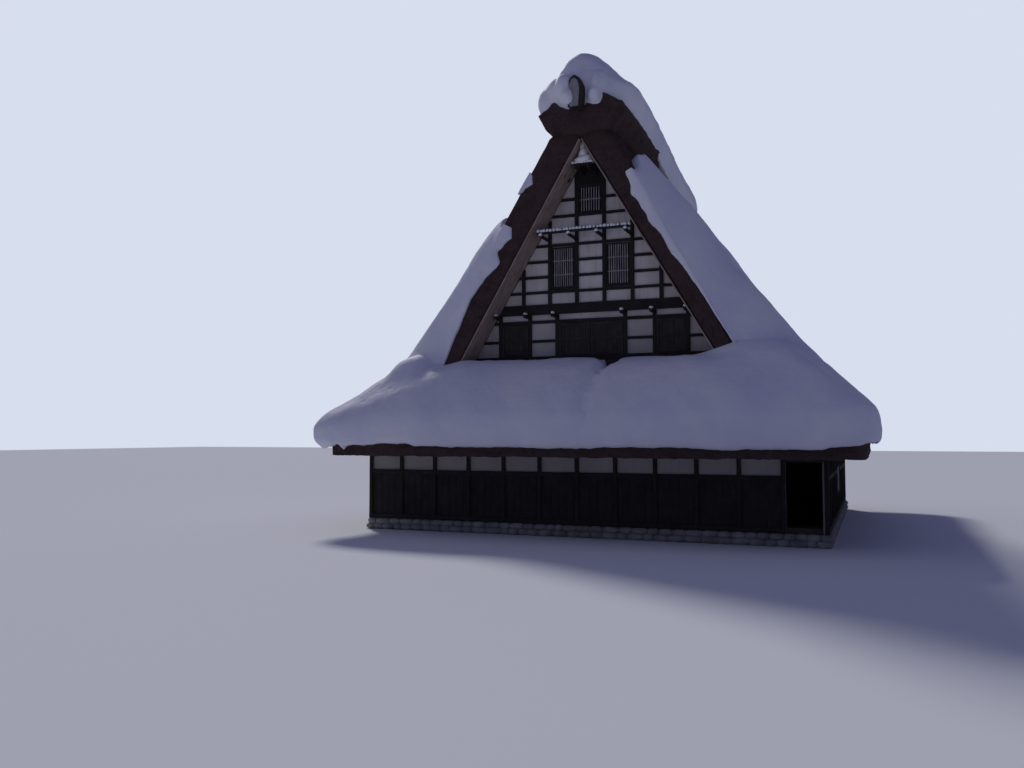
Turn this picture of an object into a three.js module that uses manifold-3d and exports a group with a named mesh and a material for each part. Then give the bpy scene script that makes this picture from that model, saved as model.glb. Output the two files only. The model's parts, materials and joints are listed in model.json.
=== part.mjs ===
// A steep-roofed farmhouse under winter snow: half-timbered gables, thatched
// main roof standing on a thatched skirt, and the snow that lies on both.
// Millimetres, +Z up. Origin on the ground at the middle of the plan, the
// gables face -Y (front) and +Y (back).
import * as THREE from 'three';
import { mergeVertices } from 'three/addons/utils/BufferGeometryUtils.js';
import Module from 'manifold-3d';

const wasm = await Module();
wasm.setup();

// Clearance left between touching pieces.
const GAP = 0.3;

// Driving dimensions of the plan and the roof.
const GABLE_Y = 5450;
const EAVE_X = 8100;
const EAVE_Y = 8250;
const EAVE_TOP = 2850;
const EAVE_BOTTOM = 2400;
const BEND_X = 4690;
const BEND_Z = 5400;
const SHOULDER_X = 1000;
const SHOULDER_Z = 12370;
const APEX_Z = 12750;
const SOFFIT_APEX_Z = 12250;
const SOFFIT_SLOPE = 1.68;
const SKIRT_THICK = 575;
const VERGE_OUT = 1000;
const SOFFIT_BOARD = 40;

// Ground-floor walls and their openings.
const FOOTING_TOP = 350;
const FOOTING_OUT = 80;
const FOOTING_IN = 6600;
const FLOOR_TOP = 500;
const WALL_X = 7100;
const WALL_Y = 6950;
const TIMBER = 70;
const PLASTER = 100;
const POST = 120;
const BAYS = 12;
const DADO_TOP = 1800;
const DOOR_TOP = 2300;
const WINDOW_LOW = 1100;
const WINDOW_HIGH = 2000;
const LINTEL_Z = 2480;
const BOARD = 25;

// Heights in the gable wall, each the middle of its rail.
const GABLE_FOOT = 4825;
const SILL_Z = 5510;
const LOW_RAIL_Z = 6060;
const HEAD_Z = 6680;
const TIE_LOW = 6920;
const TIE_HIGH = 7250;
const GABLE_RAILS = [7640, 8140, 8640, 9150, 9630, 10080, 10600];
const LOWER_POSTS = [1120, 2050, 3080];
const UPPER_POSTS = [454.5, 1363.5, 2272.5];
const HEADER_TOP = 11700;
const RAIL = 90;
const FLOOR_THICK = 150;
const LOFT_FLOORS = { lower: 5400, middle: 7050, upper: 9500 };

// Short arms under the tie beam, and the two poles on longer arms above it.
const LOW_ARM = { out: 480, half: 45, low: 6780, high: 6900 };
const HIGH_ARM = { half: 40, deep: 90 };
const POLE_OUT = 880;
const POLE_R = 45;
const POLE_BACK = 60;
const HEADER_BACK = 15;
const LONG_POLE = { half: 1500, z: 9380, seat: 0, armPlaces: [UPPER_POSTS[0], UPPER_POSTS[1]] };
const TOP_POLE = { half: 320, z: 11450, seat: HEADER_BACK, armPlaces: [200] };

// Ridge saddle and ridge roll: how far each runs past the gable, and the right
// half of its outline.
const SADDLE_OUT = 1250;
const ROLL_OUT = 1550;
const SADDLE_BED = 12980;
const SADDLE_TOP = [[290, SADDLE_BED], [350, 13300], [850, 13360], [1280, 12970]];
const SADDLE_FOOT = [1120, 12450];
const ROLL = [[290, SADDLE_BED + GAP], [300, 13500], [220, 13850], [0, 14000]];

// Snow surface, as heights over these shares of the way from the bend of the
// roof to the eave: at each hip, and half way along each side.
const SHARES = [0, 0.2, 0.325, 0.53, 0.69, 0.85, 1, 1.08];
const SNOW = {
  leftHip: [7600, 6300, 5650, 4960, 4410, 4010, 3610, 3290],
  rightHip: [7700, 6150, 5850, 5400, 4930, 4430, 4000, 3720],
  left: [7850, 6880, 6280, 5400, 4800, 4280, 3800, 3500],
  right: [8000, 7150, 6550, 5750, 5120, 4600, 4100, 3760],
  end: [5500, 5530, 5530, 5250, 4900, 4450, 3950, 3600],
};
// The hips of both end pieces start this low, under the snow of the slopes.
const UNDER_SLOPES = [5600, 5700];
// The same over the main slopes, as points [x, z].
const SLOPE_SNOW = {
  left: [[4690, 7850], [3940, 8880], [3380, 9550], [2900, 10060]],
  right: [[4690, 8000], [3900, 9000], [3000, 10400], [2300, 11500], [1600, 12250]],
};
// How far behind the verge the slopes' snow is at its full depth, the shares
// of that way at which it is drawn, and the least share of its depth.
const SNOW_EDGE = { left: 750, right: 1500 };
const EDGE_SHARES = [0, 0.12, 0.3, 0.55, 1];
const LEAST_DEPTH = 0.04;
// Under the snow's overhanging edge, and where it lies on the thatch.
const SNOW_LIP = [[1.1, 3200], [1.08, 2720], [1.01, 2620]];
const SNOW_BASE = [[1.003, EAVE_TOP + GAP], [0.0003, BEND_Z + GAP]];
// Places along a side at which its snow is drawn, from hip to hip.
const STATIONS = [-1, -0.9, -0.75, -0.4, 0, 0.4, 0.75, 0.9, 1];

// Crest of the ridge's snow in section, from its right edge over to its left:
// at the front gable and at the back one.
const FRONT_CREST = [
  [1300, 13100], [1560, 13600], [1550, 13950], [1250, 14400], [750, 14850], [300, 15130], [0, 15200],
  [-480, 15080], [-820, 14650], [-900, 14200], [-1250, 13850], [-1450, 13450], [-1300, 13050],
];
const BACK_CREST = [
  [1270, 13000], [1180, 13300], [1050, 13700], [850, 14100], [600, 14400], [300, 14600], [0, 14680],
  [-300, 14600], [-600, 14400], [-850, 14100], [-1050, 13700], [-1180, 13300], [-1270, 13000],
];
// Along the ridge: y, how far the snow has risen, and how far the section has
// changed from the front one to the back one.
const RIDGE_STATIONS = [
  [-7150, 0.12, 0], [-6900, 0.5, 0], [-6350, 0.85, 0], [-5450, 1, 0], [-2500, 1, 0.1], [-450, 1, 0.25],
  [2550, 1, 0.55], [5450, 1, 0.9], [6350, 0.9, 1], [6900, 0.5, 1], [7150, 0.12, 1],
];

const material = (color, roughness) => new THREE.MeshStandardMaterial({ color, roughness, metalness: 0 });
const finish = {
  stone: material(0x77756f, 0.9),
  timber: material(0x2b2420, 0.75),
  boards: material(0x332a25, 0.8),
  plaster: material(0xb9b8b6, 0.9),
  thatch: material(0x4b382d, 1),
  bark: material(0x3a302b, 0.9),
  snow: material(0xe6eaf4, 0.6),
};

const house = new THREE.Group();

function put(name, geometry, look) {
  const mesh = new THREE.Mesh(geometry, finish[look]);
  mesh.name = name;
  house.add(mesh);
}

// The same surface with its corners shared and nothing but positions.
function bare(geometry) {
  const copy = new THREE.BufferGeometry();
  copy.setAttribute('position', geometry.getAttribute('position').clone());
  if (geometry.index) copy.setIndex(geometry.index.clone());
  return mergeVertices(copy, 1e-3);
}

// Boolean work: geometry in, geometry out.
function solid(geometry) {
  const merged = bare(geometry);
  return new wasm.Manifold(new wasm.Mesh({
    numProp: 3,
    vertProperties: new Float32Array(merged.getAttribute('position').array),
    triVerts: new Uint32Array(merged.index.array),
  }));
}

function geometryOf(body) {
  const { vertProperties, triVerts } = body.getMesh();
  const geometry = new THREE.BufferGeometry();
  geometry.setAttribute('position', new THREE.BufferAttribute(new Float32Array(vertProperties), 3));
  geometry.setIndex(new THREE.BufferAttribute(new Uint32Array(triVerts), 1));
  return geometry;
}

const joined = (list) => list.map(solid).reduce((a, b) => a.add(b));

function box(x0, x1, y0, y1, z0, z1) {
  const geometry = new THREE.BoxGeometry(x1 - x0, y1 - y0, z1 - z0);
  return geometry.translate((x0 + x1) / 2, (y0 + y1) / 2, (z0 + z1) / 2);
}

// An upright outline of [x, z] points, drawn through the depth y0..y1.
function upright(outline, y0, y1) {
  const shape = new THREE.Shape(outline.map(([x, z]) => new THREE.Vector2(x, z)));
  const geometry = new THREE.ExtrudeGeometry(shape, { depth: y1 - y0, bevelEnabled: false });
  return geometry.rotateX(Math.PI / 2).translate(0, y1, 0);
}

// A closed skin over sections with the same number of corners, each a list of
// [a, b] pairs that place(a, b, k) sets in space for section k.
function loft(sections, place) {
  const n = sections[0].length;
  const points = sections.flatMap((section, k) => section.flatMap(([a, b]) => place(a, b, k)));
  const index = [];
  for (let k = 0; k + 1 < sections.length; k++) {
    for (let i = 0; i < n; i++) {
      const [p, q] = [k * n + i, k * n + ((i + 1) % n)];
      index.push(p, q, q + n, p, q + n, p + n);
    }
  }
  const cap = (section, base, flip) => {
    const flat = section.map(([a, b]) => new THREE.Vector2(a, b));
    for (const [i, j, k] of THREE.ShapeUtils.triangulateShape(flat, [])) {
      index.push(base + i, base + (flip ? k : j), base + (flip ? j : k));
    }
  };
  const turned = THREE.ShapeUtils.area(sections[0].map(([a, b]) => new THREE.Vector2(a, b))) < 0;
  cap(sections[0], 0, !turned);
  cap(sections[sections.length - 1], (sections.length - 1) * n, turned);
  const geometry = new THREE.BufferGeometry();
  geometry.setAttribute('position', new THREE.Float32BufferAttribute(points, 3));
  geometry.setIndex(index);
  return outward(geometry);
}

// Turns the faces over when the enclosed volume comes out negative.
function outward(geometry) {
  const position = geometry.getAttribute('position');
  const index = geometry.index.array;
  const corner = (i) => new THREE.Vector3().fromBufferAttribute(position, index[i]);
  let volume = 0;
  for (let i = 0; i < index.length; i += 3) {
    volume += corner(i).dot(corner(i + 1).cross(corner(i + 2)));
  }
  if (volume < 0) {
    for (let i = 0; i < index.length; i += 3) {
      [index[i + 1], index[i + 2]] = [index[i + 2], index[i + 1]];
    }
  }
  return geometry;
}

const mix = (a, b, t) => a + (b - a) * t;
const smooth = (t) => {
  const c = Math.min(1, Math.max(0, t));
  return c * c * (3 - 2 * c);
};
const turnAbout = (geometry) => geometry.clone().rotateZ(Math.PI);

// Both ends of the house are alike: the back piece is the front one turned.
function frontAndBack(name, geometry, look) {
  put(`front_${name}`, geometry, look);
  put(`back_${name}`, turnAbout(geometry), look);
}

// Roof planes. depthIn runs from 0 at the gable plane to 1 at the eave.
const skirtTop = (depthIn) => mix(BEND_Z, EAVE_TOP, depthIn);
const skirtUnder = (depthIn) => skirtTop(depthIn) - SKIRT_THICK;
const underAtFront = (y) => skirtUnder((y - GABLE_Y) / (EAVE_Y - GABLE_Y));
const underAtSide = (x) => skirtUnder((x - BEND_X) / (EAVE_X - BEND_X));
const soffitX = (z) => (SOFFIT_APEX_Z - z) / SOFFIT_SLOPE;
const MAIN_SLOPE = (SHOULDER_Z - BEND_Z) / (BEND_X - SHOULDER_X);
const thatchX = (z) => BEND_X - (z - BEND_Z) / MAIN_SLOPE;
const SKIRT_SLOPE = (BEND_Z - EAVE_TOP) / (EAVE_X - BEND_X);
// Where the soffit meets the underside of the side skirt.
const NECK_X = (SOFFIT_APEX_Z - GABLE_FOOT - SKIRT_SLOPE * BEND_X) / (SOFFIT_SLOPE - SKIRT_SLOPE);
const NECK_Z = SOFFIT_APEX_Z - SOFFIT_SLOPE * NECK_X;

function footingAndFloor() {
  const ring = new THREE.Shape();
  const [x, y] = [WALL_X + FOOTING_OUT, WALL_Y + FOOTING_OUT];
  ring.moveTo(-x, -y).lineTo(x, -y).lineTo(x, y).lineTo(-x, y).closePath();
  const hole = new THREE.Path();
  const [hx, hy] = [FOOTING_IN, FOOTING_IN - WALL_X + WALL_Y];
  hole.moveTo(-hx, -hy).lineTo(-hx, hy).lineTo(hx, hy).lineTo(hx, -hy).closePath();
  ring.holes.push(hole);
  const stones = new THREE.ExtrudeGeometry(ring, { depth: FOOTING_TOP, bevelEnabled: false });
  put('stone_footing', stones, 'stone');
  const [fx, fy] = [WALL_X - TIMBER - PLASTER - GAP, WALL_Y - TIMBER - PLASTER - GAP];
  put('ground_floor', box(-fx, fx, -fy, fy, FOOTING_TOP + GAP, FLOOR_TOP), 'boards');
}

const BAY = (2 * WALL_X) / BAYS;
const DOOR_X0 = WALL_X - BAY + POST / 2;
const DOOR_X1 = WALL_X - POST;

// The front wall stops at the open end bay; its upper corners follow the skirt.
function groundWalls() {
  const outer = WALL_Y - TIMBER;
  const base = FOOTING_TOP + GAP;
  const top = underAtFront(outer) - GAP;
  const wallEnd = WALL_X - TIMBER;
  const cornerZ = underAtSide(wallEnd) - GAP;
  const breakX = BEND_X + (skirtUnder(0) - GAP - top) / SKIRT_SLOPE;
  const edge = (x) => Math.min(top, underAtSide(x) - GAP);
  const long = [
    [-wallEnd, base], [DOOR_X0, base], [DOOR_X0, DOOR_TOP], [DOOR_X0, edge(DOOR_X0)], [-breakX, top],
    [-wallEnd, cornerZ],
  ];
  const overDoor = [
    [DOOR_X0 + GAP, DOOR_TOP], [wallEnd, DOOR_TOP], [wallEnd, cornerZ], [breakX, top], [DOOR_X0 + GAP, top],
  ];
  const whole = [[-wallEnd, base], [wallEnd, base], [wallEnd, cornerZ], [breakX, top], [-breakX, top],
    [-wallEnd, cornerZ]];
  put('front_wall', upright(long, -outer, -outer + PLASTER), 'plaster');
  put('front_wall_over_door', upright(overDoor, -outer, -outer + PLASTER), 'plaster');
  put('back_wall', upright(whole, outer - PLASTER, outer), 'plaster');
  const sideLength = outer - PLASTER - GAP;
  const sideTop = underAtSide(wallEnd) - GAP;
  const side = solid(box(-wallEnd, -wallEnd + PLASTER, -sideLength, sideLength, base, sideTop));
  const hole = solid(box(-WALL_X, -WALL_X + 500, -BAY, BAY, WINDOW_LOW, WINDOW_HIGH));
  const left = geometryOf(side.subtract(hole));
  put('left_wall', left, 'plaster');
  put('right_wall', turnAbout(left), 'plaster');
}

// Posts, sill, rails and board dado of one ground-floor side, from a to b.
function groundFrame(a, b, posts, top, openings) {
  const [y0, y1] = [-WALL_Y, -WALL_Y + TIMBER - GAP];
  const base = FOOTING_TOP + GAP;
  const lintel = [LINTEL_Z - POST / 2, LINTEL_Z + POST / 2];
  const rails = [[base, FLOOR_TOP], [DADO_TOP, DADO_TOP + POST], lintel, [top - POST, top]];
  const bars = [
    ...posts.map((x) => box(x - POST / 2, x + POST / 2, y0, y1, base, top)),
    ...rails.map(([low, high]) => box(a, b, y0, y1, low, high)),
    box(a, b, y1 - BOARD, y1, FLOOR_TOP - 1, DADO_TOP + 1),
  ];
  return openings.reduce((body, hole) => body.subtract(solid(hole)), joined(bars));
}

function groundFrames() {
  const posts = Array.from({ length: BAYS + 1 }, (_, i) => {
    const x = -WALL_X + i * BAY;
    return Math.max(-WALL_X + POST / 2, Math.min(WALL_X - POST / 2, x));
  });
  const top = underAtFront(WALL_Y) - GAP;
  const skirtEdge = [[-WALL_X, 0], [WALL_X, 0], [WALL_X, underAtSide(WALL_X) - GAP],
    [BEND_X, skirtUnder(0) - GAP], [-BEND_X, skirtUnder(0) - GAP], [-WALL_X, underAtSide(WALL_X) - GAP]];
  const cut = solid(upright(skirtEdge, -WALL_Y - 10, -WALL_Y + 200));
  const whole = groundFrame(-WALL_X, WALL_X, posts, top, []).intersect(cut);
  put('back_wall_frame', turnAbout(geometryOf(whole)), 'timber');
  const doorEdge = WALL_X - BAY + POST / 2;
  const main = groundFrame(-WALL_X, doorEdge, posts.slice(0, BAYS), top, []).intersect(cut);
  put('front_wall_frame', geometryOf(main), 'timber');
  const [y0, y1] = [-WALL_Y, -WALL_Y + TIMBER - GAP];
  const doorFrame = joined([
    box(DOOR_X1, WALL_X, y0, y1, FOOTING_TOP + GAP, top),
    box(doorEdge + GAP, WALL_X, y0, y1, DOOR_TOP, DOOR_TOP + 2 * POST),
    box(doorEdge + GAP, WALL_X, y0, y1, top - POST, top),
    box(doorEdge + GAP, WALL_X, y1 - BOARD, y1, DOOR_TOP + 1, top - 1),
  ]).intersect(cut);
  put('front_door_frame', geometryOf(doorFrame), 'timber');
  const half = WALL_Y - TIMBER;
  const sidePosts = Array.from({ length: BAYS + 1 }, (_, i) => {
    const y = -half + (i * 2 * half) / BAYS;
    return Math.max(-half + POST / 2, Math.min(half - POST / 2, y));
  });
  const sideTop = underAtSide(WALL_X) - GAP;
  const opening = box(-BAY + POST / 2, BAY - POST / 2, -WALL_Y - 50, -WALL_Y + 200, WINDOW_LOW, WINDOW_HIGH);
  const side = geometryOf(groundFrame(-half, half, sidePosts, sideTop, [opening]));
  side.translate(0, WALL_Y - WALL_X, 0);
  put('left_wall_frame', side.clone().rotateZ(-Math.PI / 2), 'timber');
  put('right_wall_frame', side.rotateZ(Math.PI / 2), 'timber');
  const ring = windowRing(2 * BAY - POST, WINDOW_HIGH - WINDOW_LOW, 4);
  ring.translate(0, -WALL_X, (WINDOW_LOW + WINDOW_HIGH) / 2);
  put('left_window', ring.clone().rotateZ(-Math.PI / 2), 'timber');
  put('right_window', ring.rotateZ(Math.PI / 2), 'timber');
}

// A window's frame with a few of its upright bars, standing on the plane y = 0
// and reaching back through the timbers.
function windowRing(width, height, bars) {
  const [w, h] = [width / 2 - GAP, height / 2 - GAP];
  const [rim, back] = [60, TIMBER + 20];
  const pieces = [
    box(-w, w, 20, back, -h, -h + rim), box(-w, w, 20, back, h - rim, h),
    box(-w, -w + rim, 20, back, -h, h), box(w - rim, w, 20, back, -h, h),
    box(-w + 1, w - 1, 50, 70, -20, 20),
  ];
  for (let i = 1; i < bars; i++) {
    const x = mix(-w + rim, w - rim, i / bars);
    pieces.push(box(x - 12, x + 12, 45, 75, -h + 1, h - 1));
  }
  return geometryOf(joined(pieces));
}

function innerPosts() {
  const [y0, y1] = [-GABLE_Y, -GABLE_Y + TIMBER + PLASTER];
  const low = GABLE_FOOT - 250;
  const reach = BEND_X + (skirtUnder(0) - GABLE_FOOT) / SKIRT_SLOPE - 40;
  const pieces = [box(-reach, reach, y0 + GAP, y1, low, GABLE_FOOT - GAP)];
  for (const x of [-4100, -1400, 1400, 4100]) {
    pieces.push(box(x - 90, x + 90, y0 + GAP, y1, FLOOR_TOP + GAP, low + 1));
  }
  frontAndBack('inner_posts', geometryOf(joined(pieces)), 'timber');
}

function loftFloors() {
  const depth = GABLE_Y - TIMBER - PLASTER - GAP;
  for (const [name, top] of Object.entries(LOFT_FLOORS)) {
    const low = soffitX(top - FLOOR_THICK) - 1;
    const high = soffitX(top) - 1;
    const outline = [[-low, top - FLOOR_THICK], [low, top - FLOOR_THICK], [high, top], [-high, top]];
    put(`loft_floor_${name}`, upright(outline, -depth, depth), 'boards');
  }
}

// Openings in the gable wall: [x0, x1, z0, z1].
const POST_HALF = POST / 2;
const doorOpening = [-LOWER_POSTS[0] + POST_HALF, LOWER_POSTS[0] - POST_HALF, SILL_Z + 60, HEAD_Z - 50];
const shutterOpening = [LOWER_POSTS[1] + POST_HALF, LOWER_POSTS[2] - POST_HALF, SILL_Z + 60, HEAD_Z - 50];
const windowOpening = [UPPER_POSTS[0] + POST_HALF, UPPER_POSTS[1] - POST_HALF, 7750, 9080];
const topOpening = [-UPPER_POSTS[0] + POST_HALF, UPPER_POSTS[0] - POST_HALF, 10130, 10990];
const mirrored = ([x0, x1, z0, z1]) => [-x1, -x0, z0, z1];
const openings = [
  doorOpening, shutterOpening, mirrored(shutterOpening), windowOpening, mirrored(windowOpening), topOpening,
];
const cutBox = ([x0, x1, z0, z1]) => solid(box(x0, x1, -GABLE_Y - 100, -GABLE_Y + 400, z0, z1));

// The gable's outline, 1 mm clear of the soffit, down to the beam it stands on.
const gableOutline = [
  [0, SOFFIT_APEX_Z - 2], [-NECK_X + 1, NECK_Z - 1], [-BEND_X + 1, GABLE_FOOT],
  [BEND_X - 1, GABLE_FOOT], [NECK_X - 1, NECK_Z - 1],
];

function gableWall() {
  const [y0, y1] = [-GABLE_Y + TIMBER, -GABLE_Y + TIMBER + PLASTER];
  const plain = solid(upright(gableOutline, y0, y1));
  const wall = openings.reduce((body, opening) => body.subtract(cutBox(opening)), plain);
  frontAndBack('gable_wall', geometryOf(wall), 'plaster');
}

// A gable's frame, cut to the gable's outline and round its openings.
function fitted(bars) {
  const outline = solid(upright(gableOutline, -GABLE_Y - 10, -GABLE_Y + TIMBER + 10));
  return openings.reduce((body, hole) => body.subtract(cutBox(hole)), joined(bars).intersect(outline));
}

// Two frames: foot beam, sill, rails, posts and tie beam below, with the short
// arms; posts, rails and the board over the top window above.
function gableFrames() {
  const [y0, y1] = [-GABLE_Y, -GABLE_Y + TIMBER - GAP];
  const across = (z, high) => box(-BEND_X, BEND_X, y0, y1, z - high / 2, z + high / 2);
  const posts = (places, z0, z1) => places.flatMap((x) => [x, -x]).map(
    (x) => box(x - POST_HALF, x + POST_HALF, y0, y1, z0, z1),
  );
  const { out, half, low, high } = LOW_ARM;
  const arms = LOWER_POSTS.flatMap((x) => [x, -x]).map(
    (x) => box(x - half, x + half, y0 - out, y1, low, high),
  );
  const lower = fitted([
    across(GABLE_FOOT + POST * 0.75, POST * 1.5), across(SILL_Z, POST), across(LOW_RAIL_Z, RAIL),
    across(HEAD_Z, POST - 20), across((TIE_LOW + TIE_HIGH) / 2, TIE_HIGH - TIE_LOW),
    ...posts(LOWER_POSTS, GABLE_FOOT + 1, TIE_LOW + 1),
  ]);
  frontAndBack('lower_gable_frame', geometryOf(lower.add(joined(arms))), 'timber');
  const upper = fitted([
    ...GABLE_RAILS.map((z) => across(z, RAIL)), ...posts(UPPER_POSTS, TIE_HIGH + GAP, SOFFIT_APEX_Z),
    box(-UPPER_POSTS[0], UPPER_POSTS[0], y0 + HEADER_BACK, y1, topOpening[3], HEADER_TOP),
  ]);
  frontAndBack('upper_gable_frame', geometryOf(upper), 'timber');
}

// A round pole lying along X on arms that stand out from the gable's timbers.
function poleOnArms(pole) {
  const rod = new THREE.CylinderGeometry(POLE_R, POLE_R, 2 * pole.half, 8);
  rod.rotateZ(Math.PI / 2).rotateX(Math.PI / 8).translate(0, -GABLE_Y - POLE_OUT + POLE_BACK, pole.z);
  const { half, deep } = HIGH_ARM;
  const top = pole.z - POLE_R * 0.8;
  const arms = pole.armPlaces.flatMap((x) => [x, -x]).map(
    (x) => box(x - half, x + half, -GABLE_Y - POLE_OUT, -GABLE_Y + pole.seat - GAP, top - deep, top),
  );
  return geometryOf(joined([rod, ...arms]));
}

function gablePoles() {
  frontAndBack('gable_pole', poleOnArms(LONG_POLE), 'timber');
  frontAndBack('top_pole', poleOnArms(TOP_POLE), 'timber');
}

// A board door or shutter with ledges on its outer face.
function leaf([x0, x1, z0, z1], ledges, seams) {
  const [y0, y1] = [-GABLE_Y + 30, -GABLE_Y + TIMBER];
  const [a, b, low, high] = [x0 + GAP, x1 - GAP, z0 + GAP, z1 - GAP];
  const pieces = [box(a, b, y0, y1, low, high)];
  for (let i = 0; i < ledges; i++) {
    const z = mix(low + 60, high - 60, i / (ledges - 1));
    pieces.push(box(a, b, y0 - 20, y0 + 1, z - 45, z + 45));
  }
  let body = joined(pieces);
  for (const x of seams) body = body.subtract(solid(box(x - 6, x + 6, y0 - 30, y0 + 12, low - 1, high + 1)));
  return geometryOf(body);
}

function gableOpenings() {
  frontAndBack('loft_doors', leaf(doorOpening, 2, [0]), 'boards');
  frontAndBack('shutter_right', leaf(shutterOpening, 2, []), 'boards');
  frontAndBack('shutter_left', leaf(mirrored(shutterOpening), 2, []), 'boards');
  const window = (opening) => {
    const [x0, x1, z0, z1] = opening;
    return windowRing(x1 - x0, z1 - z0, 3).translate((x0 + x1) / 2, -GABLE_Y, (z0 + z1) / 2);
  };
  frontAndBack('window_right', window(windowOpening), 'timber');
  frontAndBack('window_left', window(mirrored(windowOpening)), 'timber');
  frontAndBack('window_top', window(topOpening), 'timber');
}

// Right half of the main roof in section, grown by g where snow is cut by it.
const mainSection = (g) => [
  [GAP - g, SOFFIT_APEX_Z - g], [NECK_X - g, NECK_Z - g], [BEND_X + g, BEND_Z - g],
  [SHOULDER_X + g, SHOULDER_Z + g], [GAP - g, APEX_Z + g],
];

// Outside the gable the verge runs on down to the skirt in front of it.
function verge(g) {
  const drop = (BEND_Z - EAVE_TOP) / (EAVE_Y - GABLE_Y);
  const foot = (y) => BEND_Z - drop * Math.max(0, y - GABLE_Y) + GAP - g;
  const stations = [GABLE_Y - 20, GABLE_Y, GABLE_Y + VERGE_OUT + g];
  const section = (y) => [
    [GAP - g, SOFFIT_APEX_Z - g], [soffitX(foot(y)) - g, foot(y)], [thatchX(foot(y)) + g, foot(y)],
    [SHOULDER_X + g, SHOULDER_Z + g], [GAP - g, APEX_Z + g],
  ];
  return loft(stations.map(section), (x, z, k) => [x, -stations[k], z]);
}

// The mirror image across the plane x = 0, or across y = 0.
const flipped = (geometry) => outward(bare(geometry).scale(-1, 1, 1));
const reversed = (geometry) => outward(bare(geometry).scale(1, -1, 1));

function mainRoofs() {
  const right = geometryOf(mainRoofBody(0));
  put('roof_right', right, 'thatch');
  put('roof_left', flipped(right), 'thatch');
}

function mainRoofBody(g) {
  const slab = solid(upright(mainSection(g), -GABLE_Y, GABLE_Y));
  const front = verge(g);
  return slab.add(solid(front)).add(solid(reversed(front)));
}

// One skirt slab, mitred at both hips. Its length runs from alongTop at the
// upper edge to alongEave at the eave; innerEnd is the upper end of its
// underside, as [share of the way to the eave, z].
function skirtSlab(alongTop, alongEave, outTop, outEave, innerEnd) {
  const lip = (EAVE_TOP - EAVE_BOTTOM);
  const inner = (SKIRT_THICK - lip) / (BEND_Z - EAVE_TOP);
  const section = [
    [0, BEND_Z], [1, EAVE_TOP], [1, EAVE_BOTTOM], [1 - inner, EAVE_BOTTOM], innerEnd,
  ];
  return loft([section, section], (v, z, k) => {
    const half = mix(alongTop, alongEave, v) - GAP;
    return [k ? half : -half, -mix(outTop, outEave, v), z];
  });
}

function skirtRoof() {
  const flush = [0, BEND_Z - SKIRT_THICK];
  frontAndBack('skirt', skirtSlab(BEND_X, EAVE_X, GABLE_Y + GAP, EAVE_Y, flush), 'thatch');
  const neck = [(NECK_X - BEND_X) / (EAVE_X - BEND_X), NECK_Z];
  const side = skirtSlab(GABLE_Y, EAVE_Y, BEND_X + GAP, EAVE_X, neck);
  put('right_skirt', side.clone().rotateZ(Math.PI / 2), 'thatch');
  put('left_skirt', side.rotateZ(-Math.PI / 2), 'thatch');
}

// Boards under the overhang of the verge, an upturned V, grown by g where snow
// is cut by it.
function soffitBoards(g) {
  const drop = SOFFIT_BOARD * Math.hypot(1, SOFFIT_SLOPE);
  const foot = BEND_Z + 120 - g;
  const line = (z, d) => soffitX(z + d);
  const [over, under] = [1 - 2 * g, drop + 2 * g];
  const outline = [
    [0, SOFFIT_APEX_Z - over], [line(foot, over), foot], [line(foot, under), foot],
    [0, SOFFIT_APEX_Z - under], [-line(foot, under), foot], [-line(foot, over), foot],
  ];
  return upright(outline, -GABLE_Y - VERGE_OUT - g, -GABLE_Y - GAP + g);
}

// Ridge: a saddle of thatch over both slopes, and the roll lying in its groove.
function ridge() {
  const half = [...SADDLE_TOP, SADDLE_FOOT, [SHOULDER_X + 1, SHOULDER_Z + 1]];
  const outline = [[0, SADDLE_BED], ...half, [0, APEX_Z + 1], ...half.map(([x, z]) => [-x, z]).reverse()];
  put('ridge_saddle', upright(outline, -GABLE_Y - SADDLE_OUT, GABLE_Y + SADDLE_OUT), 'thatch');
  const roll = [...ROLL, ...ROLL.slice(0, 3).reverse().map(([x, z]) => [-x, z])];
  put('ridge_roll', upright(roll, -GABLE_Y - ROLL_OUT, GABLE_Y + ROLL_OUT), 'bark');
}

// Snow over one skirt between its hips, where it takes the hips' section.
function skirtSnow(surface, hips, alongTop, alongEave, outTop, outEave) {
  const sections = STATIONS.map((t) => {
    const share = smooth((Math.abs(t) - 0.7) / 0.3);
    const hip = hips[t < 0 ? 0 : 1];
    const top = SHARES.map((v, i) => [Math.max(v, 0.0003), mix(surface[i], hip[i], share)]);
    return [...top, ...SNOW_LIP, ...SNOW_BASE];
  });
  return loft(sections, (v, z, k) => {
    const half = mix(alongTop, alongEave, v) - GAP;
    return [STATIONS[k] * half, -mix(outTop, outEave, v), z];
  });
}

// Snow on one main slope, out to where it runs into the skirt's snow. Towards
// each verge its depth falls away as 1 - (1 - b)², b the share of SNOW_EDGE.
function slopeSnow(side, g) {
  const [skirt, slope] = [SNOW[side], SLOPE_SNOW[side]];
  const out = GABLE_Y + VERGE_OUT + g;
  const ledge = slope[slope.length - 1][1];
  const over = [2, 1].map((i) => [mix(BEND_X, EAVE_X, SHARES[i]), skirt[i]]);
  const bed = (x) => (x < BEND_X ? BEND_Z + (BEND_X - x) * MAIN_SLOPE : BEND_Z);
  const section = (share) => {
    const depth = Math.max(LEAST_DEPTH, 1 - (1 - share) ** 2);
    const top = [...over, ...slope].map(([x, z]) => [x + g, mix(bed(x), z, depth) + g]);
    return [[BEND_X + GAP, BEND_Z - g], [over[0][0] + g, BEND_Z - g], ...top, [thatchX(ledge) + GAP, ledge]];
  };
  const places = EDGE_SHARES.map((share) => share * SNOW_EDGE[side] - out);
  const along = [...places, ...places.slice().reverse().map((y) => -y)];
  const sections = [...EDGE_SHARES, ...EDGE_SHARES.slice().reverse()].map(section);
  return loft(sections, (x, z, k) => [x, along[k], z]);
}

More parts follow.
